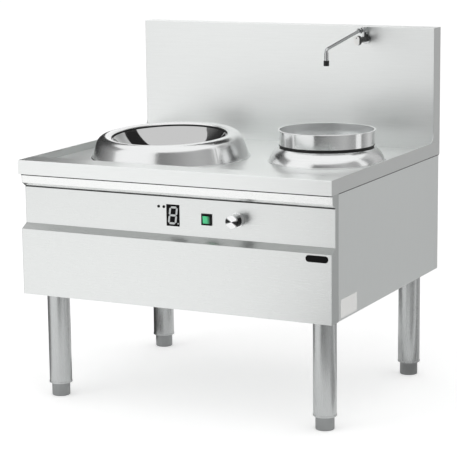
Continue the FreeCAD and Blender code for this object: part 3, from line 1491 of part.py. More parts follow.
def fan_rotor():
    """Hub and blades that turn on the spindle."""
    piece = at_fan("fan_rotor")
    rear = STRUT_FACE - d.fan_hub_gap
    front = rear - d.fan_hub_length
    middle = (rear + front) / 2
    bore = d.fan_spindle + d.running_gap
    circles = [(ZERO, ZERO, d.fan_hub_radius), (ZERO, ZERO, bore)]
    piece.pad("XZ", front, rear, circles=circles)
    along_y = sine(d.fan_pitch) * d.fan_chord / 2
    along_z = cosine(d.fan_pitch) * d.fan_chord / 2
    thick_y = cosine(d.fan_pitch) * d.fan_blade / 2
    thick_z = sine(d.fan_pitch) * d.fan_blade / 2
    section = [
        (middle - along_y - thick_y, thick_z - along_z),
        (middle - along_y + thick_y, -along_z - thick_z),
        (middle + along_y + thick_y, along_z - thick_z),
        (middle + along_y - thick_y, along_z + thick_z),
    ]
    reach = d.fan_bore - d.fan_tip_gap
    tip = root(reach * reach - d.fan_chord * d.fan_chord / 4)
    root_level = root(d.fan_hub_radius * d.fan_hub_radius - d.fan_chord * d.fan_chord / 4)
    blade = piece.pad("YZ", root_level - d.plate, tip, [section])
    piece.repeated("Polar", blade, "Y", BLADES)
    return piece.body


def terminal_block():
    """Mains terminals on the cabinet's floor."""
    middle = -d.gland_left
    piece = Piece("terminal_block", x=middle, y=d.terminal_back)
    top = FLOOR_TOP + d.terminal_height
    body = centred(ZERO, ZERO, d.terminal_width, d.terminal_depth)
    piece.pad("XY", FLOOR_TOP, top, [body])
    pitch = d.terminal_width / TERMINALS
    wells = [(pitch * (i - (TERMINALS - 1) / 2), ZERO, d.terminal_hole) for i in range(TERMINALS)]
    piece.pocket("XY", top - d.terminal_height / 3, top, circles=wells)
    return piece.body


def cable_gland():
    """Cable gland clamped through the rear panel."""
    piece = Piece("cable_gland", x=-d.gland_left, z=d.gland_height)
    outside = REAR_FACE + d.gland_flange
    piece.turned([
        (REAR_INNER - d.gland_flange, d.gland_bore),
        (REAR_INNER - d.gland_flange, d.gland_radius),
        (REAR_INNER, d.gland_radius),
        (REAR_INNER, d.gland_thread),
        (REAR_FACE, d.gland_thread),
        (REAR_FACE, d.gland_radius),
        (outside, d.gland_radius),
        (outside, d.gland_dome),
        (REAR_FACE + d.gland_reach, d.gland_dome),
        (REAR_FACE + d.gland_reach, d.gland_bore),
    ], axis="Y")
    return piece.body


# ---------------------------------------------------------------------------
# Water tap
# ---------------------------------------------------------------------------
BODY_FRONT = derived("body_front", -d.tap_flange - d.tap_body_length)
HANDLE_REAR = derived("handle_rear", BODY_FRONT - d.seat_gap)
HANDLE_FRONT = derived("handle_front", HANDLE_REAR - d.tap_handle_length)
HUB_FOOT = derived("hub_foot", d.riser_height + d.seat_gap)
SPOUT_Z = derived("spout_z", d.tap_height + HUB_FOOT + d.swivel_height / 2)
RUN = derived("spout_run", d.spout_reach - d.nut_reach)
BEND_Z = derived("bend_z", -(RUN * sine(d.spout_slope) / cosine(d.spout_slope)))
NOZZLE_Y = derived("nozzle_y", d.spout_bend * (sine(d.spout_slope) - 1) - d.spout_reach)
NOZZLE_Z = derived("nozzle_z", BEND_Z - d.spout_bend * cosine(d.spout_slope))


def at_tap(name):
    """A piece on the tap's axis, from the backsplash's face."""
    return Piece(name, x=d.tap_right, y=SPLASH_FACE, z=d.tap_height)


def at_spout(name):
    """A piece on the riser's axis, level with the spout."""
    return Piece(name, x=d.tap_right, y=SPLASH_FACE - d.riser_setback, z=SPOUT_Z)


def tap_body():
    """Valve body with its wall flange, the stem for the handle and the riser."""
    piece = at_tap("tap_body")
    stem = BODY_FRONT - d.tap_stem_length
    piece.turned([
        (ZERO, ZERO),
        (ZERO, d.tap_flange_radius),
        (-d.tap_flange, d.tap_flange_radius),
        (-d.tap_flange, d.tap_body_radius),
        (BODY_FRONT, d.tap_body_radius),
        (BODY_FRONT, d.tap_stem_radius),
        (stem, d.tap_stem_radius),
        (stem, ZERO),
    ], axis="Y")
    riser = (ZERO, -d.riser_setback, d.riser_radius)
    piece.pad("XY", ZERO, d.riser_height, circles=[riser])
    pin = (ZERO, -d.riser_setback, d.swivel_pin_radius)
    top = HUB_FOOT + d.swivel_height - d.swivel_cap - d.seat_gap
    piece.pad("XY", d.riser_height, top, circles=[pin])
    return piece.body


def tap_handle():
    """Oblong handle with a bore for the valve stem."""
    piece = at_tap("tap_handle")
    front = HANDLE_FRONT + d.tap_cap
    outline = centred(ZERO, ZERO, d.tap_handle_width, d.tap_handle_height)
    piece.pad("XZ", front, HANDLE_REAR, [outline])
    bore = (ZERO, ZERO, d.tap_stem_radius + d.running_gap)
    piece.pocket("XZ", BODY_FRONT - d.tap_stem_length - d.seat_gap, HANDLE_REAR, circles=[bore])
    piece.fillet(d.tap_handle_width * END_SHARE, lambda e: along(e, Y_AXIS))
    return piece.body


def tap_cap():
    """Pale plate on the handle's front."""
    piece = at_tap("tap_cap")
    outline = centred(ZERO, ZERO, d.tap_handle_width, d.tap_handle_height)
    piece.pad("XZ", HANDLE_FRONT, HANDLE_FRONT + d.tap_cap, [outline])
    piece.fillet(d.tap_handle_width * END_SHARE, lambda e: along(e, Y_AXIS))
    return piece.body


def spout_pipe():
    """Spout with its swivel hub, a short level run, the sloping tube and the nozzle."""
    piece = at_spout("spout_pipe")
    half = d.swivel_height / 2
    piece.pad("XY", -half, half, circles=[(ZERO, ZERO, d.swivel_radius)])
    piece.pad("XZ", -d.nut_reach, ZERO, circles=[(ZERO, ZERO, d.riser_radius)])
    pin = (ZERO, ZERO, d.swivel_pin_radius + d.running_gap)
    piece.pocket("XY", -half, half - d.swivel_cap, circles=[pin])
    section = piece.sketch("XZ", -d.nut_reach, circles=[(ZERO, ZERO, d.spout_radius)])
    path = [
        (-d.nut_reach, ZERO),
        (-d.spout_reach, BEND_Z),
        Arc(NOZZLE_Y, NOZZLE_Z, d.spout_bend),
        (NOZZLE_Y, NOZZLE_Z - d.nozzle_length / 2),
    ]
    piece.sweep(path, section)
    nozzle = (ZERO, NOZZLE_Y, d.nozzle_radius)
    piece.pad("XY", NOZZLE_Z - d.nozzle_length, NOZZLE_Z, circles=[nozzle])
    return piece.body


def swivel_nut():
    """Six-sided nut on the spout."""
    piece = at_spout("swivel_nut")
    corner = d.nut_radius
    high = cosine(as_size(30)) * corner
    hexagon = [
        (corner, ZERO), (corner / 2, high), (-corner / 2, high),
        (-corner, ZERO), (-corner / 2, -high), (corner / 2, -high),
    ]
    middle = -d.nut_reach
    half = d.nut_length / 2
    bore = (ZERO, ZERO, d.riser_radius + d.seat_gap)
    piece.pad("XZ", middle - half, middle + half, [hexagon], [bore])
    return piece.body


def aerator():
    """Dark aerator under the nozzle."""
    piece = at_spout("aerator")
    top = NOZZLE_Z - d.nozzle_length
    low = top - d.aerator_length
    circle = (ZERO, NOZZLE_Y, d.aerator_radius)
    piece.pad("XY", low, top, circles=[circle])
    hollow = (ZERO, NOZZLE_Y, d.aerator_radius - d.plate)
    piece.pocket("XY", low, low + d.aerator_length / 2, circles=[hollow])
    piece.fillet(d.plate / 2, lambda e: passes(e, z=top) and isinstance(e.Curve, Part.Circle))
    return piece.body


def supply_pipe():
    """Water pipe from the inlet stub at the rear up to the tap."""
    piece = at_tap("supply_pipe")
    bend = d.supply_bend
    across = d.supply_setback
    low = d.inlet_height - d.tap_height
    rear = REAR_FACE - SPLASH_FACE
    path = [
        (ZERO, ZERO),
        (across - bend, ZERO),
        Arc(across, -bend, bend, left=False),
        (across, low + bend),
        Arc(across + bend, low, bend),
        (rear + d.plate, low),
    ]
    section = piece.sketch("XZ", ZERO, circles=[(ZERO, ZERO, d.supply_radius)])
    piece.sweep(path, section)
    stub = (ZERO, low, d.inlet_radius)
    piece.pad("XZ", rear, rear + d.inlet_length, circles=[stub])
    return piece.body


# ---------------------------------------------------------------------------
# Blank plates and screws
# ---------------------------------------------------------------------------
def name_badge():
    """Blank badge with round ends on the lower panel."""
    piece = Piece("name_badge", x=d.badge_middle, z=LOWER_TOP - d.badge_drop)
    outline = centred(ZERO, ZERO, d.badge_width, d.badge_height)
    piece.pad("XZ", d.lower_recess - d.badge_plate, d.lower_recess, [outline])
    piece.fillet(d.badge_height * END_SHARE, lambda e: along(e, Y_AXIS))
    return piece.body


def rating_plate():
    """Blank label on the right side."""
    low = d.cabinet_base + d.label_rise
    end = d.label_start + d.label_width
    face = SIDE_FACE + d.label_plate
    return box("rating_plate", SIDE_FACE, face, d.label_start, end, low, low + d.label_height)


def panel_screws():
    """Screw heads on the rear panel and on the backsplash's cover."""
    parts = []
    side = SIDE_INNER - d.screw_margin
    rear = (FLOOR_TOP + d.screw_margin, POWER_Z + d.power_height, DECK_UNDER - d.screw_margin)
    high = SPLASH_TOP - d.screw_margin
    cover = (d.worktop_height + d.screw_margin, high)
    rows = [(REAR_FACE, z) for z in rear] + [(COVER_BACK, z) for z in cover]
    for row, (y, z) in enumerate(rows, start=1):
        for column in (-1, 0, 1):
            name = f"screw_{row}_{column + 2}"
            reach = d.screw_head
            parts.append(rod(name, side * column, y, z, d.screw_radius, reach, Y_AXIS))
    return group("panel_screws", parts)


# ---------------------------------------------------------------------------
# Build, check and write
# ---------------------------------------------------------------------------
def build():
    """Makes every sub-part."""
    nodes = [
        worktop(),
        backsplash(),
        backsplash_cover(),
        side_panel("side_panel_left", -1),
        side_panel("side_panel_right", 1),
        front_cheek("front_cheek_left", -1),
        front_cheek("front_cheek_right", 1),
        apron_strip(),
        control_panel(),
        lower_front_panel(),
        rear_panel(),
        bottom_panel(),
        base_frame(),
        leg_sockets(),
    ]
    nodes += [leg(*spot) for spot in LEG_SPOTS]
    nodes += [foot(*spot) for spot in LEG_SPOTS]
    makers = (
        wok_ring, glass_bowl, bowl_seal, wok_coil, wok_coil_cradle, ferrite_bars, bowl_sensor,
        pot_collar, pot_seal, pot_ring, soup_pot, pot_coil, pot_coil_cradle,
        display_window, indicator_lenses, switch_housing, rocker_button,
        knob, knob_cap, knob_shaft, encoder, control_board,
        power_unit_case, heat_sink, fan_frame, fan_rotor, terminal_block, cable_gland,
        tap_body, tap_handle, tap_cap, spout_pipe, swivel_nut, aerator, supply_pipe,
        name_badge, rating_plate, panel_screws,
    )
    return nodes + [make() for make in makers]


def sound(shape):
    """Whether a shape is a valid solid."""
    return not shape.isNull() and shape.isValid() and shape.Volume > 0


def check(nodes):
    """Stops if a feature failed, a cut took nothing away or a shape is not sound."""
    doc.recompute()
    for obj in doc.Objects:
        if {"Invalid", "Error"} & set(obj.State):
            raise RuntimeError(f"{obj.Label} did not compute: {obj.State}")
        if obj.TypeId == "PartDesign::Pocket":
            if obj.Shape.Volume >= obj.BaseFeature.Shape.Volume:
                raise RuntimeError(f"{obj.Label} takes nothing away")
    unsound = [node.Label for node in nodes if not sound(node.Shape)]
    if unsound:
        raise RuntimeError(f"Not sound: {unsound}")


def write(nodes):
    """Writes one file per sub-part."""
    os.makedirs("parts", exist_ok=True)
    for node in nodes:
        node.Shape.exportStep(f"parts/{node.Label}.step")


NODES = build()
check(NODES)
write(NODES)
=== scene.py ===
import math

import bmesh
import bpy
from bpy.props import FloatProperty, FloatVectorProperty, PointerProperty, StringProperty
from mathutils import Matrix, Vector
from mathutils.bvhtree import BVHTree


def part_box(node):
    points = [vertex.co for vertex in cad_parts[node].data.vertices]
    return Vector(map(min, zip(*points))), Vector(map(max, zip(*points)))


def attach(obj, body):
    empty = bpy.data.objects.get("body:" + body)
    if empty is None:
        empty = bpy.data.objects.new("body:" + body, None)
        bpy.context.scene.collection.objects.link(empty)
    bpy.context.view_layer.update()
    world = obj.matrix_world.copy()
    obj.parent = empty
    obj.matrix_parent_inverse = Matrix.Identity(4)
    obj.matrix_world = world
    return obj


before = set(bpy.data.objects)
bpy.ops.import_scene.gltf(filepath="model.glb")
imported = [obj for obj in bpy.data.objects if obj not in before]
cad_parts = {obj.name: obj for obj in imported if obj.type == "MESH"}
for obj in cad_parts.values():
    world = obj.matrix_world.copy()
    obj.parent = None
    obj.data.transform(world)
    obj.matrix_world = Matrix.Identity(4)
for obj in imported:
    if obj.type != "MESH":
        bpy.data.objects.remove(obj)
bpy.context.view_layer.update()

bl_info = {
    "name": "Induction Wok Range",
    "version": (1, 0, 0),
    "blender": (4, 5, 0),
    "location": "3D View > Sidebar > Wok Range",
    "description": "Dresses a steel wok range with its finishes, small parts and a studio",
    "category": "Object",
}

MM = 0.001
RANGE = "range"
# Nearly all values of a noise lie between these two.
NOISE_LOW, NOISE_HIGH = 0.3, 0.7
# How far the finest bumps of a metal stand out, and those of a moulded skin.
METAL_BUMP, SKIN_BUMP = 0.01 * MM, 0.02 * MM
# Thickness of what is printed or laid on a plate.
PRINT = 0.2 * MM


# ---------------------------------------------------------------------------
# Settings
# ---------------------------------------------------------------------------
def colour_setting(name, about, default):
    """A colour written as six hex digits."""
    return StringProperty(name=name, description=about, default=default)


def size_setting(name, about, default):
    """A length in metres, given in millimetres."""
    return FloatProperty(name=name, description=about, default=default * MM, unit="LENGTH")


class WOKRANGE_PG_finishes(bpy.types.PropertyGroup):
    """Colours and grain of the materials."""

    steel: colour_setting("Sheet steel", "Stainless sheet of the worktop", "F9FBFA")
    panel_steel: colour_setting("Panel steel", "Stainless sheet of the front", "EDEFEE")
    apron_steel: colour_setting("Apron steel", "Stainless strip under the rim", "FCFDFC")
    cheek_steel: colour_setting("Cheek steel", "Returns at the front's ends", "CACDCC")
    side_steel: colour_setting("Side steel", "Stainless sheet of the sides", "EBEEED")
    spun_steel: colour_setting("Spun steel", "Stainless of the rings", "F1F2F2")
    tube_steel: colour_setting("Tube steel", "Stainless of the legs", "C8CACA")
    glass: colour_setting("Bowl glass", "Black glass ceramic", "0A0A0B")
    lens: colour_setting("Rocker", "Clear green moulding", "52E49C")
    digit: colour_setting("Digit", "Segments of the display", "D2D6D6")
    grain: size_setting("Grain", "Width of the brushed lines", 0.9)
    ripple: size_setting("Ripple", "Width of the sheet's slow waves", 260.0)


class WOKRANGE_PG_details(bpy.types.PropertyGroup):
    """Sizes of the small pieces that are drawn here."""

    weld: size_setting("Weld", "Radius of the weld beads", 2.2)
    digit_height: size_setting("Digit height", "Height of the display's digit", 57.0)
    digit_width: size_setting("Digit width", "Width of the display's digit", 30.0)
    stroke: size_setting("Stroke", "Width of the digit's segments", 6.3)
    slant: FloatProperty(
        name="Slant", description="Lean of the digit", default=math.radians(7), subtype="ANGLE"
    )
    dot: size_setting("Dot", "Radius of the display's dot", 2.4)


class WOKRANGE_PG_studio(bpy.types.PropertyGroup):
    """Camera and lamps."""

    eye: FloatVectorProperty(
        name="Eye", description="Place of the camera", default=(2.6971, -5.4086, 1.6859),
        subtype="TRANSLATION", unit="LENGTH",
    )
    azimuth: FloatProperty(
        name="Azimuth", description="Turn of the view from straight on",
        default=math.radians(26.671), subtype="ANGLE",
    )
    pitch: FloatProperty(
        name="Pitch", description="Downward tilt of the view",
        default=math.radians(10.780), subtype="ANGLE",
    )
    roll: FloatProperty(
        name="Roll", description="Roll of the view", default=math.radians(-0.667), subtype="ANGLE"
    )
    lens: FloatProperty(
        name="Lens", description="Focal length in millimetres on a 36 mm sensor", default=145.19
    )
    key: FloatProperty(
        name="Key", description="Power of the front-left lamp", default=15.0, unit="POWER"
    )
    top: FloatProperty(
        name="Top", description="Power of the lamp overhead", default=12.0, unit="POWER"
    )
    ambient: FloatProperty(name="Ambient", description="Light from all round", default=0.8)
    floor_lift: FloatProperty(
        name="Floor lift", description="Paleness of the floor where it is looked at", default=0.38
    )
    mirrored_lift: FloatProperty(
        name="Mirrored lift", description="Paleness of the floor in reflections", default=0.22
    )
    flag_distance: FloatProperty(
        name="Flag distance", description="Grey studio flags from the middle", default=2.4,
        unit="LENGTH",
    )
    flag_height: FloatProperty(
        name="Flag height", description="Height of those flags", default=2.7, unit="LENGTH"
    )


# ---------------------------------------------------------------------------
# Colours and nodes
# ---------------------------------------------------------------------------
def linear(hex_colour):
    """Six sRGB hex digits as linear red, green, blue and alpha."""
    values = [int(hex_colour[i:i + 2], 16) / 255 for i in (0, 2, 4)]
    low, split, high = 12.92, 0.04045, 1.055
    turned = [v / low if v <= split else ((v + high - 1) / high) ** 2.4 for v in values]
    return (*turned, 1.0)


def add(tree, kind, settings=None, inputs=None):
    """Adds a node, applies its settings, and links or sets its inputs."""
    node = tree.nodes.new(kind)
    for name, value in (settings or {}).items():
        setattr(node, name, value)
    for key, value in (inputs or {}).items():
        socket = node.inputs[key]
        if isinstance(value, bpy.types.NodeSocket):
            tree.links.new(value, socket)
        else:
            socket.default_value = value
    return node


def new_material(name):
    """An empty material with its node tree."""
    material = bpy.data.materials.new(name)
    material.use_nodes = True
    material.node_tree.nodes.clear()
    return material, material.node_tree


def finish_material(tree, inputs, bump=None):
    """Ends a tree with a Principled shader, with an optional (height, distance) bump."""
    shader = add(tree, "ShaderNodeBsdfPrincipled", inputs=inputs)
    if bump:
        height, distance = bump
        bumped = add(tree, "ShaderNodeBump", inputs={"Height": height, "Distance": distance})
        tree.links.new(bumped.outputs["Normal"], shader.inputs["Normal"])
    add(tree, "ShaderNodeOutputMaterial", inputs={"Surface": shader.outputs["BSDF"]})


def darkened(colour, depth):
    """A linear colour with a share of its light taken away."""
    return tuple(c * (1 - depth) for c in colour[:3]) + (1.0,)


def mottled(tree, pattern, colour, depth, rough):
    """A pattern as a colour that darkens by a share, and as a range of roughness."""
    middle = {"Value": pattern, "From Min": NOISE_LOW, "From Max": NOISE_HIGH}
    share = add(tree, "ShaderNodeMapRange", inputs=middle).outputs["Result"]
    shaded = add(tree, "ShaderNodeMix", {"data_type": "RGBA"},
                 {0: share, 6: darkened(colour, depth), 7: colour})
    roughness = add(tree, "ShaderNodeMapRange",
                    inputs={**middle, "To Min": rough[0], "To Max": rough[1]})
    return shaded.outputs[2], roughness.outputs["Result"]


def painted_shade_by_facing(tree, colour, axis, low, high, depth):
    """Painted shade: a colour darkened by a share on faces that look along an axis."""
    normal = add(tree, "ShaderNodeNewGeometry").outputs["Normal"]
    split = add(tree, "ShaderNodeSeparateXYZ", inputs={0: normal})
    level = add(tree, "ShaderNodeMapRange", inputs={
        "Value": split.outputs[axis], "From Min": low, "From Max": high,
        "To Min": 1.0, "To Max": 1 - depth,
    })
    scaled = add(tree, "ShaderNodeVectorMath", {"operation": "SCALE"},
                 {"Vector": colour, "Scale": level.outputs["Result"]})
    return scaled.outputs["Vector"]


# ---------------------------------------------------------------------------
# Materials
# ---------------------------------------------------------------------------
def brushed_stainless(name, colour, along, roughness, painted_shade=None):
    """Stainless sheet, belt-brushed: fine straight lines blur what it reflects.

    Faces that look along the given axis are darkened by the share given with it: painted shade.
    """
    finishes = bpy.context.scene.wok_finishes
    material, tree = new_material(name)
    place = add(tree, "ShaderNodeTexCoord").outputs["Object"]
    # A belt leaves lines of about 0.1 mm; they are drawn coarser than that.
    across, stretch, wave_height = 1 / finishes.grain, 90, 4.0
    scale = tuple(across / stretch if axis == along else across for axis in "XYZ")
    drawn = add(tree, "ShaderNodeMapping", inputs={"Vector": place, "Scale": scale})
    lines = add(tree, "ShaderNodeTexNoise", inputs={
        "Vector": drawn.outputs["Vector"], "Scale": 1.0, "Detail": 3.0,
    }).outputs["Fac"]
    waves = add(tree, "ShaderNodeTexNoise", inputs={
        "Vector": place, "Scale": 1 / finishes.ripple, "Detail": 1.0,
    }).outputs["Fac"]
    colour, rough = mottled(tree, lines, linear(colour), 0.05,
                            (roughness - 0.04, roughness + 0.05))
    # Painted shade: faces that look along the given axis are darkened.
    if painted_shade:
        axis, share = painted_shade
        colour = painted_shade_by_facing(tree, colour, axis, 0.2, 0.6, share)
    height = add(tree, "ShaderNodeMath", {"operation": "MULTIPLY_ADD"},
                 {0: waves, 1: wave_height, 2: lines}).outputs[0]
    finish_material(tree, {
        "Base Color": colour, "Metallic": 1.0, "Roughness": rough, "Anisotropic": 0.35,
    }, (height, METAL_BUMP))
    return material


def spun_stainless(name, colour, node, roughness, inside=0.0):
    """Stainless spun on a lathe: fine rings round the axis, brighter than the sheet.

    Faces that look towards the axis can be blasted, with a roughness of their own.
    """
    material, tree = new_material(name)
    low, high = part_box(node)
    middle = ((low[0] + high[0]) / 2, (low[1] + high[1]) / 2, 0)
    place = add(tree, "ShaderNodeTexCoord").outputs["Object"]
    moved = add(tree, "ShaderNodeVectorMath", {"operation": "SUBTRACT"}, {0: place, 1: middle})
    flat = add(tree, "ShaderNodeVectorMath", {"operation": "MULTIPLY"},
               {0: moved.outputs["Vector"], 1: (1, 1, 0)})
    radius = add(tree, "ShaderNodeVectorMath", {"operation": "LENGTH"}, {0: flat.outputs[0]})
    split = add(tree, "ShaderNodeSeparateXYZ", inputs={0: place})
    pair = add(tree, "ShaderNodeCombineXYZ",
               inputs={0: radius.outputs["Value"], 1: split.outputs["Z"]})
    # The tool leaves rings of about 0.2 mm; they are drawn coarser than that.
    ring_width, dent_width, dent_height = 1.2 * MM, 111.1 * MM, 30.0
    rings = add(tree, "ShaderNodeTexNoise", inputs={
        "Vector": pair.outputs["Vector"], "Scale": 1 / ring_width, "Detail": 2.0,
    }).outputs["Fac"]
    dents = add(tree, "ShaderNodeTexNoise", inputs={
        "Vector": place, "Scale": 1 / dent_width, "Detail": 1.0,
    }).outputs["Fac"]
    colour, rough = mottled(tree, rings, linear(colour), 0.05,
                            (roughness - 0.02, roughness + 0.03))
    if inside:
        normal = add(tree, "ShaderNodeNewGeometry").outputs["Normal"]
        outward = add(tree, "ShaderNodeVectorMath", {"operation": "DOT_PRODUCT"},
                      {0: flat.outputs[0], 1: normal})
        inward = add(tree, "ShaderNodeMapRange", inputs={
            "Value": outward.outputs["Value"], "From Min": -0.05, "From Max": 0.0,
            "To Min": inside, "To Max": 0.0,
        })
        rough = add(tree, "ShaderNodeMath", {"operation": "MAXIMUM"},
                    {0: rough, 1: inward.outputs["Result"]}).outputs[0]
    height = add(tree, "ShaderNodeMath", {"operation": "MULTIPLY_ADD"},
                 {0: dents, 1: dent_height, 2: rings}).outputs[0]
    finish_material(tree, {"Base Color": colour, "Metallic": 1.0, "Roughness": rough},
                    (height, METAL_BUMP))
    return material


def moulded(name, colour, roughness, grit=0.8, depth=0.15, metallic=0.0, ior=1.5):
    """A solid with a fine even skin, such as moulded plastic, rubber or cast metal.

    The skin's specks soften its highlights. They are as wide as the grit says, in
    millimetres, which is coarser than real ones.
    """
    material, tree = new_material(name)
    place = add(tree, "ShaderNodeTexCoord").outputs["Object"]
    specks = add(tree, "ShaderNodeTexNoise", inputs={
        "Vector": place, "Scale": 1 / (grit * MM), "Detail": 2.0,
    }).outputs["Fac"]
    colour, rough = mottled(tree, specks, linear(colour), depth,
                            (roughness * 0.85, roughness * 1.15))
    finish_material(tree, {
        "Base Color": colour, "Roughness": rough, "Metallic": metallic, "IOR": ior,
    }, (specks, SKIN_BUMP))
    return material


def black_glass_ceramic():
    """Glass ceramic, ground and fire-polished: black with a sharp reflection."""
    finishes = bpy.context.scene.wok_finishes
    material, tree = new_material("black_glass_ceramic")
    place = add(tree, "ShaderNodeTexCoord").outputs["Object"]
    haze_width = 71.4 * MM
    haze = add(tree, "ShaderNodeTexNoise", inputs={
        "Vector": place, "Scale": 1 / haze_width, "Detail": 3.0,
    }).outputs["Fac"]
    colour, rough = mottled(tree, haze, linear(finishes.glass), 0.3, (0.05, 0.09))
    # Both layers mirror more than clear glass would, as the bowl in the photograph does.
    finish_material(tree, {
        "Base Color": colour, "Roughness": rough, "IOR": 4.4,
        "Coat Weight": 1.0, "Coat IOR": 3.2, "Coat Roughness": 0.04,
    })
    return material


def turned_chrome_painted_reflection(node, start, end, skirt=0.0):
    """Chrome over turned brass, painted reflection: bright fans above and below, dark to the left
    and right.

    The fans open between the start and end heights of the unit circle round the axis.
    The skirt is the share of the length next to the panel that stays bright: a painted highlight.
    """
    material, tree = new_material(f"turned_chrome_painted_reflection_{node}")
    low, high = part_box(node)
    middle = tuple((a + b) / 2 for a, b in zip(low, high))
    place = add(tree, "ShaderNodeTexCoord").outputs["Object"]
    moved = add(tree, "ShaderNodeVectorMath", {"operation": "SUBTRACT"}, {0: place, 1: middle})
    flat = add(tree, "ShaderNodeVectorMath", {"operation": "MULTIPLY"},
               {0: moved.outputs[0], 1: (1, 0, 1)})
    radius = add(tree, "ShaderNodeVectorMath", {"operation": "LENGTH"}, {0: flat.outputs[0]})
    # The lathe's marks are finer than this in the real knob.
    mark_width = 0.5 * MM
    rings = add(tree, "ShaderNodeTexNoise", {"noise_dimensions": "1D"},
                {"W": radius.outputs["Value"], "Scale": 1 / mark_width}).outputs["Fac"]
    outward = add(tree, "ShaderNodeVectorMath", {"operation": "NORMALIZE"}, {0: flat.outputs[0]})
    # The painted fans stand a little off upright.
    leaning = (0.14, 0, 0.99)
    upward = add(tree, "ShaderNodeVectorMath", {"operation": "DOT_PRODUCT"},
                 {0: outward.outputs[0], 1: leaning})
    size = add(tree, "ShaderNodeMath", {"operation": "ABSOLUTE"}, {0: upward.outputs["Value"]})
    fan = add(tree, "ShaderNodeMapRange", inputs={
        "Value": size.outputs[0], "From Min": start, "From Max": end,
    })
    bright = fan.outputs["Result"]
    if skirt:
        depth = add(tree, "ShaderNodeSeparateXYZ", inputs={0: place}).outputs["Y"]
        edge = high[1] - skirt * (high[1] - low[1])
        band = add(tree, "ShaderNodeMapRange", inputs={
            "Value": depth, "From Min": edge - MM, "From Max": edge + MM,
        })
        bright = add(tree, "ShaderNodeMath", {"operation": "MAXIMUM"},
                     {0: bright, 1: band.outputs["Result"]}).outputs[0]
    # Painted reflection: near black outside the fans, the chrome's own colour inside them.
    chrome = linear("F8F9F9")
    shaded = add(tree, "ShaderNodeMix", {"data_type": "RGBA"},
                 {0: bright, 6: darkened(chrome, 0.97), 7: chrome})
    rough = add(tree, "ShaderNodeMapRange", inputs={
        "Value": rings, "From Min": NOISE_LOW, "From Max": NOISE_HIGH,
        "To Min": 0.18, "To Max": 0.26,
    })
    finish_material(tree, {
        "Base Color": shaded.outputs[2], "Metallic": 1.0, "Roughness": rough.outputs["Result"],
    }, (rings, METAL_BUMP))
    return material


def plated_chrome_painted_reflection():
    """Chrome over polished brass: bright, its right side darkened by a painted reflection of a dim
    room.
    """
    material, tree = new_material("plated_chrome_painted_reflection")
    place = add(tree, "ShaderNodeTexCoord").outputs["Object"]
    haze_width = 2 * MM
    haze = add(tree, "ShaderNodeTexNoise", inputs={
        "Vector": place, "Scale": 1 / haze_width, "Detail": 2.0,
    }).outputs["Fac"]
    colour, rough = mottled(tree, haze, linear("ECEEEE"), 0.06, (0.13, 0.19))
    # Painted reflection: faces that look to the right are darkened, as if they mirrored a dim room.
    colour = painted_shade_by_facing(tree, colour, "X", -0.1, 0.35, 0.9)
    finish_material(tree, {"Base Color": colour, "Metallic": 1.0, "Roughness": rough},
                    (haze, METAL_BUMP))
    return material


def clear_green_rocker():
    """Clear green polycarbonate, moulded: green on the left, darkened by painted shade at the right
    end.
    """
    material, tree = new_material("clear_green_polycarbonate")
    low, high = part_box("rocker_button")
    place = add(tree, "ShaderNodeTexCoord").outputs["Object"]
    split = add(tree, "ShaderNodeSeparateXYZ", inputs={0: place})
    span = high[0] - low[0]
    # Painted shade: the green darkens towards the right end, in uneven clouds.
    along = add(tree, "ShaderNodeMapRange", inputs={
        "Value": split.outputs["X"], "From Min": low[0] + span * 0.5,
        "From Max": low[0] + span * 0.85, "To Min": 1.0, "To Max": 0.0,
    })
    cloud_width = 6.25 * MM
    clouds = add(tree, "ShaderNodeTexNoise", inputs={
        "Vector": place, "Scale": 1 / cloud_width, "Detail": 1.0,
    }).outputs["Fac"]
    depth = add(tree, "ShaderNodeMapRange", inputs={
        "Value": clouds, "From Min": NOISE_LOW, "From Max": NOISE_HIGH,
        "To Min": 0.8, "To Max": 1.0,
    })
    painted_light_share = add(tree, "ShaderNodeMath", {"operation": "MULTIPLY"},
              {0: along.outputs["Result"], 1: depth.outputs["Result"]})
    green = linear(bpy.context.scene.wok_finishes.lens)
    shaded = add(tree, "ShaderNodeMix", {"data_type": "RGBA"},
                 {0: painted_light_share.outputs[0], 6: darkened(green, 0.93), 7: green})
    finish_material(tree, {"Base Color": shaded.outputs[2], "Roughness": 0.15, "IOR": 1.58})
    return material


def wound_copper():
    """Lacquered copper wire, wound turn by turn: bright backs, and grooves darkened by painted
    shade.
    """
    material, tree = new_material("wound_copper")
    place = add(tree, "ShaderNodeTexCoord").outputs["Object"]
    # The real wire is about 2 mm thick; its turns are drawn coarser than that.
    turn_width, turn_depth = 9 * MM, 0.5 * MM
    turns = add(tree, "ShaderNodeTexWave", {"bands_direction": "Z"}, {
        "Vector": place, "Scale": 1 / turn_width, "Distortion": 0.4,
    }).outputs["Fac"]
    copper = linear("B4673C")
    # Painted shade: the grooves between the turns are half as bright as the backs.
    shaded = add(tree, "ShaderNodeMix", {"data_type": "RGBA"},
                 {0: turns, 6: darkened(copper, 0.5), 7: copper})
    finish_material(tree, {
        "Base Color": shaded.outputs[2], "Metallic": 1.0, "Roughness": 0.35,
    }, (turns, turn_depth))
    return material


def dress(material, *nodes):
    """Gives a material to CAD nodes."""
    for name in nodes:
        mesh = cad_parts[name].data
        mesh.materials.clear()
        mesh.materials.append(material)


# ---------------------------------------------------------------------------
# Meshes
# ---------------------------------------------------------------------------
def new_piece(name, mesh, material, body=RANGE):
    """A new object that rides on a body."""
    piece = bpy.data.objects.new(name, mesh)
    bpy.context.scene.collection.objects.link(piece)
    piece.data.materials.append(material)
    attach(piece, body)
    return piece


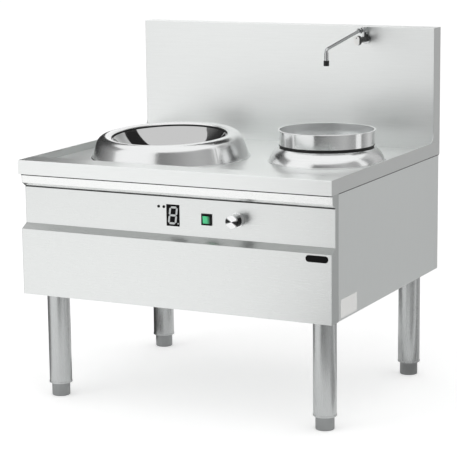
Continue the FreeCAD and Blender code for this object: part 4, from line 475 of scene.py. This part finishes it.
def circle(middle, half, steps):
    """Points in a plane, evenly round an ellipse."""
    angles = [2 * math.pi * i / steps for i in range(steps)]
    return [(middle[0] + half[0] * math.cos(a), middle[1] + half[1] * math.sin(a))
            for a in angles]


def footprint(node):
    """The middle and the half widths of a node, seen from above."""
    low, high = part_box(node)
    middle = [(a + b) / 2 for a, b in zip(low, high)][:2]
    half = [(b - a) / 2 for a, b in zip(low, high)][:2]
    return middle, half


def wire(name, points, radius, material, closed=True):
    """A round wire through the points."""
    curve = bpy.data.curves.new(name, "CURVE")
    curve.dimensions = "3D"
    curve.bevel_depth = radius
    curve.bevel_resolution = 3
    spline = curve.splines.new("POLY")
    spline.points.add(len(points) - 1)
    for target, point in zip(spline.points, points):
        target.co = (*point, 1.0)
    spline.use_cyclic_u = closed
    return new_piece(name, curve, material)


def plate(name, outline, y, thickness, material, body=RANGE):
    """A flat plate with its face at y, from an outline of (x, z) points."""
    mesh = bpy.data.meshes.new(name)
    made = bmesh.new()
    corners = [made.verts.new((x, y, z)) for x, z in outline]
    made.faces.new(corners)
    moved = bmesh.ops.extrude_face_region(made, geom=list(made.faces))
    rear = [v for v in moved["geom"] if isinstance(v, bmesh.types.BMVert)]
    bmesh.ops.translate(made, verts=rear, vec=(0, thickness, 0))
    bmesh.ops.recalc_face_normals(made, faces=list(made.faces))
    made.to_mesh(mesh)
    made.free()
    return new_piece(name, mesh, material, body)


# ---------------------------------------------------------------------------
# Operators
# ---------------------------------------------------------------------------
class WOKRANGE_OT_casing(bpy.types.Operator):
    """Brushed sheet of the worktop, backsplash, front and sides"""

    bl_idname = "wokrange.casing"
    bl_label = "Casing"

    def execute(self, context):
        """Dresses the sheet and lays dark beads as painted shadow lines."""
        scene = context.scene
        finishes = scene.wok_finishes
        # Painted shade: the worktop's faces that look right and the panel's faces that look up are
        # darkened.
        sheet = brushed_stainless("brushed_stainless", finishes.steel, "X", 0.33, ("X", 0.24))
        side = brushed_stainless("side_stainless", finishes.side_steel, "Z", 0.34)
        panel = brushed_stainless("panel_stainless", finishes.panel_steel, "X", 0.30, ("Z", 0.36))
        apron = brushed_stainless("apron_stainless", finishes.apron_steel, "X", 0.25)
        cheek = brushed_stainless("cheek_stainless", finishes.cheek_steel, "Z", 0.34)
        dress(sheet, "worktop", "backsplash", "rear_panel", "bottom_panel", "backsplash_cover")
        dress(panel, "control_panel", "lower_front_panel")
        dress(apron, "apron_strip")
        dress(side, "side_panel_left", "side_panel_right")
        dress(cheek, "front_cheek_left", "front_cheek_right")
        self.shadow_lines()
        return {"FINISHED"}

    def shadow_lines(self):
        """Dark beads in the corners under the worktop's edge and the apron, as painted shadow
        lines.
        """
        painted_shadow = moulded("painted_shadow_line", "2C2D2D", 0.6)
        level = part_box("worktop")[0][2]
        low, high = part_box("apron_strip")
        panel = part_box("control_panel")
        left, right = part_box("side_panel_left"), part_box("side_panel_right")
        # The deeper the corner, the thicker the bead and its painted shadow line.
        edge, side, lip = 2.6 * MM, 1.8 * MM, 1.3 * MM
        runs = {
            "front": (edge, (low[0], low[1]), (high[0], low[1]), level - edge),
            "apron": (lip, (low[0], panel[0][1]), (high[0], panel[0][1]), panel[1][2] - lip),
            "left": (side, (left[0][0], left[0][1]), (left[0][0], left[1][1]), level - side),
            "right": (side, (right[1][0], right[0][1]), (right[1][0], right[1][1]), level - side),
        }
        for name, (radius, start, end, height) in runs.items():
            points = [(*start, height), (*end, height)]
            wire(f"sealant_{name}", points, radius, painted_shadow, closed=False)


class WOKRANGE_OT_legs(bpy.types.Operator):
    """Leg tubes, levelling feet and the frame above them"""

    bl_idname = "wokrange.legs"
    bl_label = "Legs"

    def execute(self, context):
        """Dresses the tubes, the feet and the frame."""
        scene = context.scene
        tube = brushed_stainless("tube_stainless", scene.wok_finishes.tube_steel, "Z", 0.27)
        foot = brushed_stainless("turned_stainless", "9C9E9E", "Y", 0.34)
        zinc = moulded("zinc_paint", "8A8D90", 0.5, metallic=0.3)
        for place in ("front_left", "front_right", "rear_left", "rear_right"):
            dress(tube, f"leg_{place}")
            dress(foot, f"foot_{place}")
        dress(zinc, "base_frame", "leg_sockets")
        return {"FINISHED"}


class WOKRANGE_OT_wok(bpy.types.Operator):
    """Wok ring, glass bowl, its seal and the weld round the ring"""

    bl_idname = "wokrange.wok"
    bl_label = "Wok hob"

    def execute(self, context):
        """Dresses the ring and the bowl, and lays the ring's welds."""
        scene = context.scene
        finishes = scene.wok_finishes
        spun = spun_stainless("spun_stainless_wok", finishes.spun_steel, "wok_ring", 0.2)
        dress(spun, "wok_ring")
        dress(black_glass_ceramic(), "glass_bowl")
        dress(moulded("silicone_rubber", "141414", 0.6), "bowl_seal", "pot_seal")
        weld = scene.wok_details.weld
        self.weld(weld, spun)
        self.seam(weld * 0.6, spun)
        return {"FINISHED"}

    def weld(self, radius, material):
        """A bead along the ring's foot, which is wider than deep by the ring's lean."""
        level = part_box("wok_ring")[0][2] + radius / 2
        points = [(x, y, level) for x, y in circle(*footprint("wok_ring"), 128)]
        wire("wok_ring_weld", points, radius, material)

    def seam(self, radius, material):
        """The upright weld on the ring's right side, laid on its skin."""
        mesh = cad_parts["wok_ring"].data
        skin = BVHTree.FromPolygons([v.co for v in mesh.vertices],
                                    [f.vertices for f in mesh.polygons])
        low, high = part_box("wok_ring")
        centre = footprint("wok_ring")[0]
        turn = math.radians(64)
        outward = Vector((math.sin(turn), -math.cos(turn), 0))
        # What lies nearer to the axis is the mouth's far side.
        nearest = 225 * MM
        points = []
        steps = 12
        for i in range(1, steps):
            middle = Vector((*centre, low[2] + (high[2] - low[2]) * i / steps))
            found = skin.ray_cast(middle + outward, -outward)[0]
            if found and (found - middle).dot(outward) > nearest:
                points.append(found)
        wire("wok_ring_seam", points, radius, material, closed=False)


class WOKRANGE_OT_pot(bpy.types.Operator):
    """Collar, ring and soup pot, with the weld round the collar"""

    bl_idname = "wokrange.pot"
    bl_label = "Soup pot hob"

    def execute(self, context):
        """Dresses the pot's rings, and lays their weld and bead."""
        scene = context.scene
        finishes = scene.wok_finishes
        collar = spun_stainless("spun_stainless_collar", finishes.spun_steel, "pot_collar", 0.2)
        band = spun_stainless("polished_stainless_band", finishes.spun_steel, "pot_ring", 0.14,
                              inside=0.3)
        pot = spun_stainless("satin_stainless_pot", "EEF0F0", "soup_pot", 0.42, inside=0.55)
        dress(collar, "pot_collar")
        dress(band, "pot_ring")
        dress(pot, "soup_pot")
        weld = scene.wok_details.weld
        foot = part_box("pot_collar")[0][2] + weld / 2
        self.bead("pot_collar_weld", "pot_collar", foot, weld, collar, "ring_steel")
        # Black silicone where the band meets its seal.
        top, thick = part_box("pot_seal")[1][2], 3.0 * MM
        silicone = bpy.data.materials["silicone_rubber"]
        self.bead("pot_ring_bead", "pot_seal", top, thick, silicone, "seal_rubber")
        return {"FINISHED"}

    def bead(self, name, node, level, radius, material, slot):
        """A bead round a node, at a level."""
        middle, (reach, _) = footprint(node)
        points = [(x, y, level) for x, y in circle(middle, (reach, reach), 96)]
        wire(name, points, radius, material)


class WOKRANGE_OT_controls(bpy.types.Operator):
    """Display with its digit, lamps, rocker switch and knob"""

    bl_idname = "wokrange.controls"
    bl_label = "Controls"

    def execute(self, context):
        """Dresses the controls and draws the digit."""
        scene = context.scene
        finishes = scene.wok_finishes
        window = moulded("smoked_acrylic", "060607", 0.12, grit=3.0, depth=0.3, ior=1.2)
        black = moulded("black_abs", "0B0B0C", 0.35, ior=1.25)
        dress(window, "display_window")
        dress(black, "indicator_lenses", "switch_housing")
        # The knob and its cap carry a painted reflection: bright fans above and below, dark sides.
        dress(turned_chrome_painted_reflection("knob_cap", 0.3, 0.6), "knob_cap")
        dress(turned_chrome_painted_reflection("knob", 0.6, 0.95, skirt=0.35), "knob")
        dress(clear_green_rocker(), "rocker_button")
        self.digit(scene)
        return {"FINISHED"}

    def digit(self, scene):
        """Seven slanted segments and a dot on the window."""
        details = scene.wok_details
        glow = moulded("pale_segment", scene.wok_finishes.digit, 0.5, depth=0.1)
        low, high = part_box("display_window")
        face = low[1]
        centre_x, centre_z = (low[0] + high[0]) / 2, (low[2] + high[2]) / 2
        wide, tall, stroke = details.digit_width, details.digit_height, details.stroke
        lean = math.tan(details.slant)
        gap, half = stroke * 0.15, stroke / 2

        def slanted(points):
            return [(centre_x + x + z * lean, centre_z + z) for x, z in points]

        def bar(length):
            tip = length / 2 - gap
            flat = tip - half
            return [(-tip, 0), (-flat, half), (flat, half), (tip, 0), (flat, -half), (-flat, -half)]

        across, upright = wide - stroke, (tall - stroke) / 2
        for i, z in enumerate((-upright, 0, upright), start=1):
            outline = slanted([(px, pz + z) for px, pz in bar(across)])
            plate(f"digit_bar_{i}", outline, face - PRINT, PRINT, glow)
        sides = [(x, z) for x in (-across / 2, across / 2) for z in (-upright / 2, upright / 2)]
        for i, (x, z) in enumerate(sides, start=1):
            outline = slanted([(pz + x, px + z) for px, pz in bar(upright)])
            plate(f"digit_side_{i}", outline, face - PRINT, PRINT, glow)
        dot = circle((wide / 2 + stroke, half - tall / 2), (details.dot, details.dot), 16)
        plate("digit_dot", slanted(dot), face - PRINT, PRINT, glow)


class WOKRANGE_OT_tap(bpy.types.Operator):
    """Chrome tap with its black handle"""

    bl_idname = "wokrange.tap"
    bl_label = "Tap"

    def execute(self, context):
        """Dresses the tap and draws its index dot."""
        black = moulded("black_handle_abs", "0C0C0D", 0.3)
        pipe = moulded("chromed_tube", "CDCFD0", 0.16, grit=2.0, depth=0.05, metallic=1.0)
        dress(plated_chrome_painted_reflection(), "tap_body", "swivel_nut")
        dress(pipe, "spout_pipe")
        dress(black, "tap_handle")
        dress(moulded("black_aerator_abs", "111112", 0.4), "aerator")
        dress(moulded("white_cap_abs", "FAFAF8", 0.3, depth=0.02), "tap_cap")
        self.index(black)
        return {"FINISHED"}

    def index(self, material):
        """The small dark index dot near the top of the cap."""
        low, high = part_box("tap_cap")
        radius, rise = 1.7 * MM, 0.8
        middle = ((low[0] + high[0]) / 2, low[2] + (high[2] - low[2]) * rise)
        outline = circle(middle, (radius, radius), 16)
        plate("tap_index_dot", outline, low[1] - PRINT, PRINT, material,
              "tap_handle")


class WOKRANGE_OT_plates(bpy.types.Operator):
    """Blank badge and blank label"""

    bl_idname = "wokrange.plates"
    bl_label = "Plates"

    def execute(self, context):
        """Dresses the badge and the label."""
        dress(moulded("black_enamel_badge", "070708", 0.2, grit=2.0, ior=1.2), "name_badge")
        dress(moulded("white_film", "F0F0EE", 0.5, depth=0.04), "rating_plate")
        return {"FINISHED"}


class WOKRANGE_OT_insides(bpy.types.Operator):
    """Coils, cradles, electronics, fan and pipe inside the casing"""

    bl_idname = "wokrange.insides"
    bl_label = "Insides"

    def execute(self, context):
        """Dresses every part that the casing hides."""
        dress(wound_copper(), "wok_coil", "pot_coil")
        dress(moulded("black_phenolic_cradle", "1C1C1C", 0.6), "wok_coil_cradle",
              "pot_coil_cradle")
        dress(moulded("sintered_ferrite", "262629", 0.7, grit=0.4), "ferrite_bars")
        dress(moulded("turned_brass", "B08D4C", 0.3, metallic=1.0), "bowl_sensor", "supply_pipe")
        dress(moulded("ground_steel", "9A9C9D", 0.3, metallic=1.0), "knob_shaft")
        dress(moulded("pressed_aluminium", "B4B6B8", 0.4, metallic=1.0), "encoder")
        dress(moulded("glass_fibre_laminate", "1E5A34", 0.45, grit=1.5), "control_board")
        dress(moulded("zinc_plated_sheet", "A7A9AB", 0.45, metallic=0.8, grit=6.0),
              "power_unit_case")
        dress(moulded("extruded_aluminium", "BDBFC1", 0.4, metallic=1.0), "heat_sink")
        dress(moulded("black_pbt", "161617", 0.5), "fan_frame", "fan_rotor")
        dress(moulded("cream_polyamide", "D9D5C6", 0.5), "terminal_block")
        dress(moulded("black_polyamide", "141415", 0.5), "cable_gland")
        dress(moulded("zinc_plated_screw", "A9ABAC", 0.35, metallic=1.0), "panel_screws")
        return {"FINISHED"}


class WOKRANGE_OT_studio(bpy.types.Operator):
    """Pale floor, soft lamps and the camera"""

    bl_idname = "wokrange.studio"
    bl_label = "Studio"

    def execute(self, context):
        """Sets the floor, the cards, the lamps and the camera."""
        scene = context.scene
        studio = scene.wok_studio
        scene.view_settings.view_transform = "Standard"
        self.floor(studio)
        self.world(scene, studio)
        self.flags(studio)
        self.overhead()
        self.lamp("key_lamp", (-2.6, -3.4, 2.6), (0, 0, 0.7), 2.4, studio.key)
        self.lamp("top_lamp", (0.2, -0.8, 3.6), (0, 0.1, 0.6), 3.0, studio.top)
        self.camera(scene, studio)
        return {"FINISHED"}

    def flags(self, studio):
        """The curved cards round the range, each darker or paler from end to end."""
        # Each has its first and last turn in degrees from straight in front, positive to
        # the right, its greys there, and how near to the middle its foot begins.
        flags = {
            "front_right": (1, 66, 0.15, 0.48, 1.3),
            "right": (66, 96, 0.48, 0.34, 0.8),
            "rear_right": (110, 136, 0.26, 0.60, 0.1),
            "rear": (136, 178, 0.60, 0.42, 0.1),
            "left": (-104, -62, 0.08, 0.36, 0.35),
            "rear_left": (-138, -104, 0.03, 0.06, 0.7),
        }
        for name, (start, end, first, last, near) in flags.items():
            self.flag(studio, f"flag_{name}", (start, end), (first, last), near)

    def overhead(self):
        """A dark card overhead and behind, which the bowl mirrors as a black wedge."""
        left, right, front, rear, height = -0.45, 1.2, 0.75, 3.4, 2.6
        corners = [(left, front, height), (right, front, height), (right, rear, height),
                   (left, rear, height)]
        whole_turn, near_black = (-180, 180), (0.03, 0.03)
        self.card("flag_overhead", corners, [(0, 1, 2, 3)], whole_turn, near_black)

    def mirrored(self, tree, path):
        """One where a glossy or transmission ray looks, else nought."""
        return add(tree, "ShaderNodeMath", {"operation": "MAXIMUM"}, {
            0: path.outputs["Is Glossy Ray"], 1: path.outputs["Is Transmission Ray"],
        }).outputs[0]

    def floor(self, studio):
        """A wide pale floor that keeps the shadow."""
        mesh = bpy.data.meshes.new("studio_floor")
        half = 30.0
        corners = [(-half, -half, 0), (half, -half, 0), (half, half, 0), (-half, half, 0)]
        mesh.from_pydata(corners, [], [(0, 1, 2, 3)])
        floor = bpy.data.objects.new("studio_floor", mesh)
        bpy.context.scene.collection.objects.link(floor)
        material, tree = new_material("matt_white_vinyl")
        place = add(tree, "ShaderNodeTexCoord").outputs["Object"]
        patch_width = 333.3 * MM
        patches = add(tree, "ShaderNodeTexNoise", inputs={
            "Vector": place, "Scale": 1 / patch_width, "Detail": 2.0,
        }).outputs["Fac"]
        share = add(tree, "ShaderNodeMapRange", inputs={
            "Value": patches, "From Min": NOISE_LOW, "From Max": NOISE_HIGH,
        })
        vinyl = linear("EDEDED")
        shaded = add(tree, "ShaderNodeMix", {"data_type": "RGBA"}, {
            0: share.outputs["Result"], 6: darkened(vinyl, 0.01), 7: vinyl,
        })
        matt = add(tree, "ShaderNodeBsdfDiffuse", inputs={"Color": shaded.outputs[2]})
        path = add(tree, "ShaderNodeLightPath")
        mirrored = add(tree, "ShaderNodeMath", {"operation": "MULTIPLY"},
                       {0: self.mirrored(tree, path), 1: studio.mirrored_lift})
        strength = add(tree, "ShaderNodeMath", {"operation": "MULTIPLY_ADD"},
                       {0: path.outputs["Is Camera Ray"], 1: studio.floor_lift,
                        2: mirrored.outputs[0]})
        lift = add(tree, "ShaderNodeEmission",
                   inputs={"Color": (1, 1, 1, 1), "Strength": strength.outputs[0]})
        both = add(tree, "ShaderNodeAddShader", inputs={0: matt.outputs[0], 1: lift.outputs[0]})
        add(tree, "ShaderNodeOutputMaterial", inputs={"Surface": both.outputs[0]})
        floor.data.materials.append(material)

    def flag(self, studio, name, span, greys, near):
        """A curved card between two turns, with a foot on the floor."""
        steps = 16
        start, end = span
        far, tall = studio.flag_distance, studio.flag_height
        corners, faces = [], []
        for i in range(steps + 1):
            angle = math.radians(start + (end - start) * i / steps)
            across, along = math.sin(angle), -math.cos(angle)
            corners += [(near * across, near * along, MM), (far * across, far * along, MM),
                        (far * across, far * along, tall)]
        for i in range(steps):
            for row in (0, 1):
                a = 3 * i + row
                faces.append((a, a + 3, a + 4, a + 1))
        self.card(name, corners, faces, span, greys)

    def card(self, name, corners, faces, span, greys):
        """A grey card that only reflections see, so round steel shows its stripes."""
        mesh = bpy.data.meshes.new(name)
        mesh.from_pydata(corners, [], faces)
        card = bpy.data.objects.new(name, mesh)
        bpy.context.scene.collection.objects.link(card)
        material, tree = new_material(f"{name}_cloth")
        place = add(tree, "ShaderNodeTexCoord").outputs["Object"]
        split = add(tree, "ShaderNodeSeparateXYZ", inputs={0: place})
        # The card's own angle round the object, as its corners have it.
        forward = add(tree, "ShaderNodeMath", {"operation": "MULTIPLY"},
                      {0: split.outputs["Y"], 1: -1.0})
        angle = add(tree, "ShaderNodeMath", {"operation": "ARCTAN2"},
                    {0: split.outputs["X"], 1: forward.outputs[0]})
        grey = add(tree, "ShaderNodeMapRange", inputs={
            "Value": angle.outputs[0], "From Min": math.radians(span[0]),
            "From Max": math.radians(span[1]), "To Min": greys[0], "To Max": greys[1],
        })
        # The weave is drawn as broad patches, since its threads are too fine to show.
        patch_width = 500 * MM
        cloth = add(tree, "ShaderNodeTexNoise", inputs={
            "Vector": place, "Scale": 1 / patch_width, "Detail": 2.0,
        }).outputs["Fac"]
        weave = add(tree, "ShaderNodeMapRange", inputs={
            "Value": cloth, "From Min": NOISE_LOW, "From Max": NOISE_HIGH,
            "To Min": 0.93, "To Max": 1.07,
        })
        level = add(tree, "ShaderNodeMath", {"operation": "MULTIPLY"},
                    {0: grey.outputs["Result"], 1: weave.outputs["Result"]})
        glow = add(tree, "ShaderNodeEmission",
                   inputs={"Color": (1, 1, 1, 1), "Strength": level.outputs[0]})
        add(tree, "ShaderNodeOutputMaterial", inputs={"Surface": glow.outputs[0]})
        mesh.materials.append(material)
        card.visible_camera = False
        card.visible_diffuse = False
        card.visible_shadow = False

    def world(self, scene, studio):
        """White where it is looked at, and a plain ambient light elsewhere."""
        world = bpy.data.worlds.new("studio_world")
        world.use_nodes = True
        tree = world.node_tree
        tree.nodes.clear()
        path = add(tree, "ShaderNodeLightPath")
        looked_at = add(tree, "ShaderNodeMath", {"operation": "MAXIMUM"},
                        {0: path.outputs["Is Camera Ray"], 1: self.mirrored(tree, path)})
        strength = add(tree, "ShaderNodeMapRange", inputs={
            "Value": looked_at.outputs[0], "To Min": studio.ambient, "To Max": 1.0,
        })
        light = add(tree, "ShaderNodeBackground",
                    inputs={"Color": (1, 1, 1, 1), "Strength": strength.outputs["Result"]})
        add(tree, "ShaderNodeOutputWorld", inputs={"Surface": light.outputs[0]})
        scene.world = world

    def lamp(self, name, place, target, size, power):
        """A square soft lamp aimed at a point."""
        light = bpy.data.lights.new(name, "AREA")
        light.shape = "SQUARE"
        light.size = size
        light.energy = power
        lamp = bpy.data.objects.new(name, light)
        # The white world already stands for the softboxes in the steel.
        lamp.visible_glossy = False
        bpy.context.scene.collection.objects.link(lamp)
        aim = Vector(target) - Vector(place)
        turn = aim.to_track_quat("-Z", "Y").to_matrix().to_4x4()
        lamp.matrix_world = Matrix.Translation(place) @ turn

    def camera(self, scene, studio):
        """The camera of the photograph."""
        data = bpy.data.cameras.new("studio_camera")
        data.lens = studio.lens
        data.sensor_width = 36.0
        camera = bpy.data.objects.new("studio_camera", data)
        scene.collection.objects.link(camera)
        turn, tilt, roll = studio.azimuth, studio.pitch, studio.roll
        forward = Vector((-math.sin(turn) * math.cos(tilt), math.cos(turn) * math.cos(tilt),
                          -math.sin(tilt)))
        level = Vector((math.cos(turn), math.sin(turn), 0))
        upright = level.cross(forward)
        right = level * math.cos(roll) + upright * math.sin(roll)
        up = right.cross(forward)
        axes = Matrix((right, up, -forward)).transposed().to_4x4()
        camera.matrix_world = Matrix.Translation(studio.eye) @ axes
        scene.camera = camera


class WOKRANGE_PT_panel(bpy.types.Panel):
    """Lists the pieces in the sidebar"""

    bl_idname = "WOKRANGE_PT_panel"
    bl_label = "Wok Range"
    bl_space_type = "VIEW_3D"
    bl_region_type = "UI"
    bl_category = "Wok Range"

    def draw(self, context):
        """One button for each piece."""
        for operator in OPERATORS:
            self.layout.operator(operator.bl_idname)


OPERATORS = (
    WOKRANGE_OT_casing,
    WOKRANGE_OT_legs,
    WOKRANGE_OT_wok,
    WOKRANGE_OT_pot,
    WOKRANGE_OT_controls,
    WOKRANGE_OT_tap,
    WOKRANGE_OT_plates,
    WOKRANGE_OT_insides,
    WOKRANGE_OT_studio,
)
GROUPS = {
    "wok_finishes": WOKRANGE_PG_finishes,
    "wok_details": WOKRANGE_PG_details,
    "wok_studio": WOKRANGE_PG_studio,
}


def register():
    """Registers the settings, operators and panel."""
    for name, group in GROUPS.items():
        bpy.utils.register_class(group)
        setattr(bpy.types.Scene, name, PointerProperty(type=group))
    for operator in OPERATORS:
        bpy.utils.register_class(operator)
    bpy.utils.register_class(WOKRANGE_PT_panel)


def unregister():
    """Takes them all away again."""
    bpy.utils.unregister_class(WOKRANGE_PT_panel)
    for operator in reversed(OPERATORS):
        bpy.utils.unregister_class(operator)
    for name, group in reversed(GROUPS.items()):
        delattr(bpy.types.Scene, name)
        bpy.utils.unregister_class(group)


def main():
    """Builds the whole look."""
    register()
    for operator in OPERATORS:
        family, name = operator.bl_idname.split(".")
        getattr(getattr(bpy.ops, family), name)()


if __name__ == "__main__":
    main()
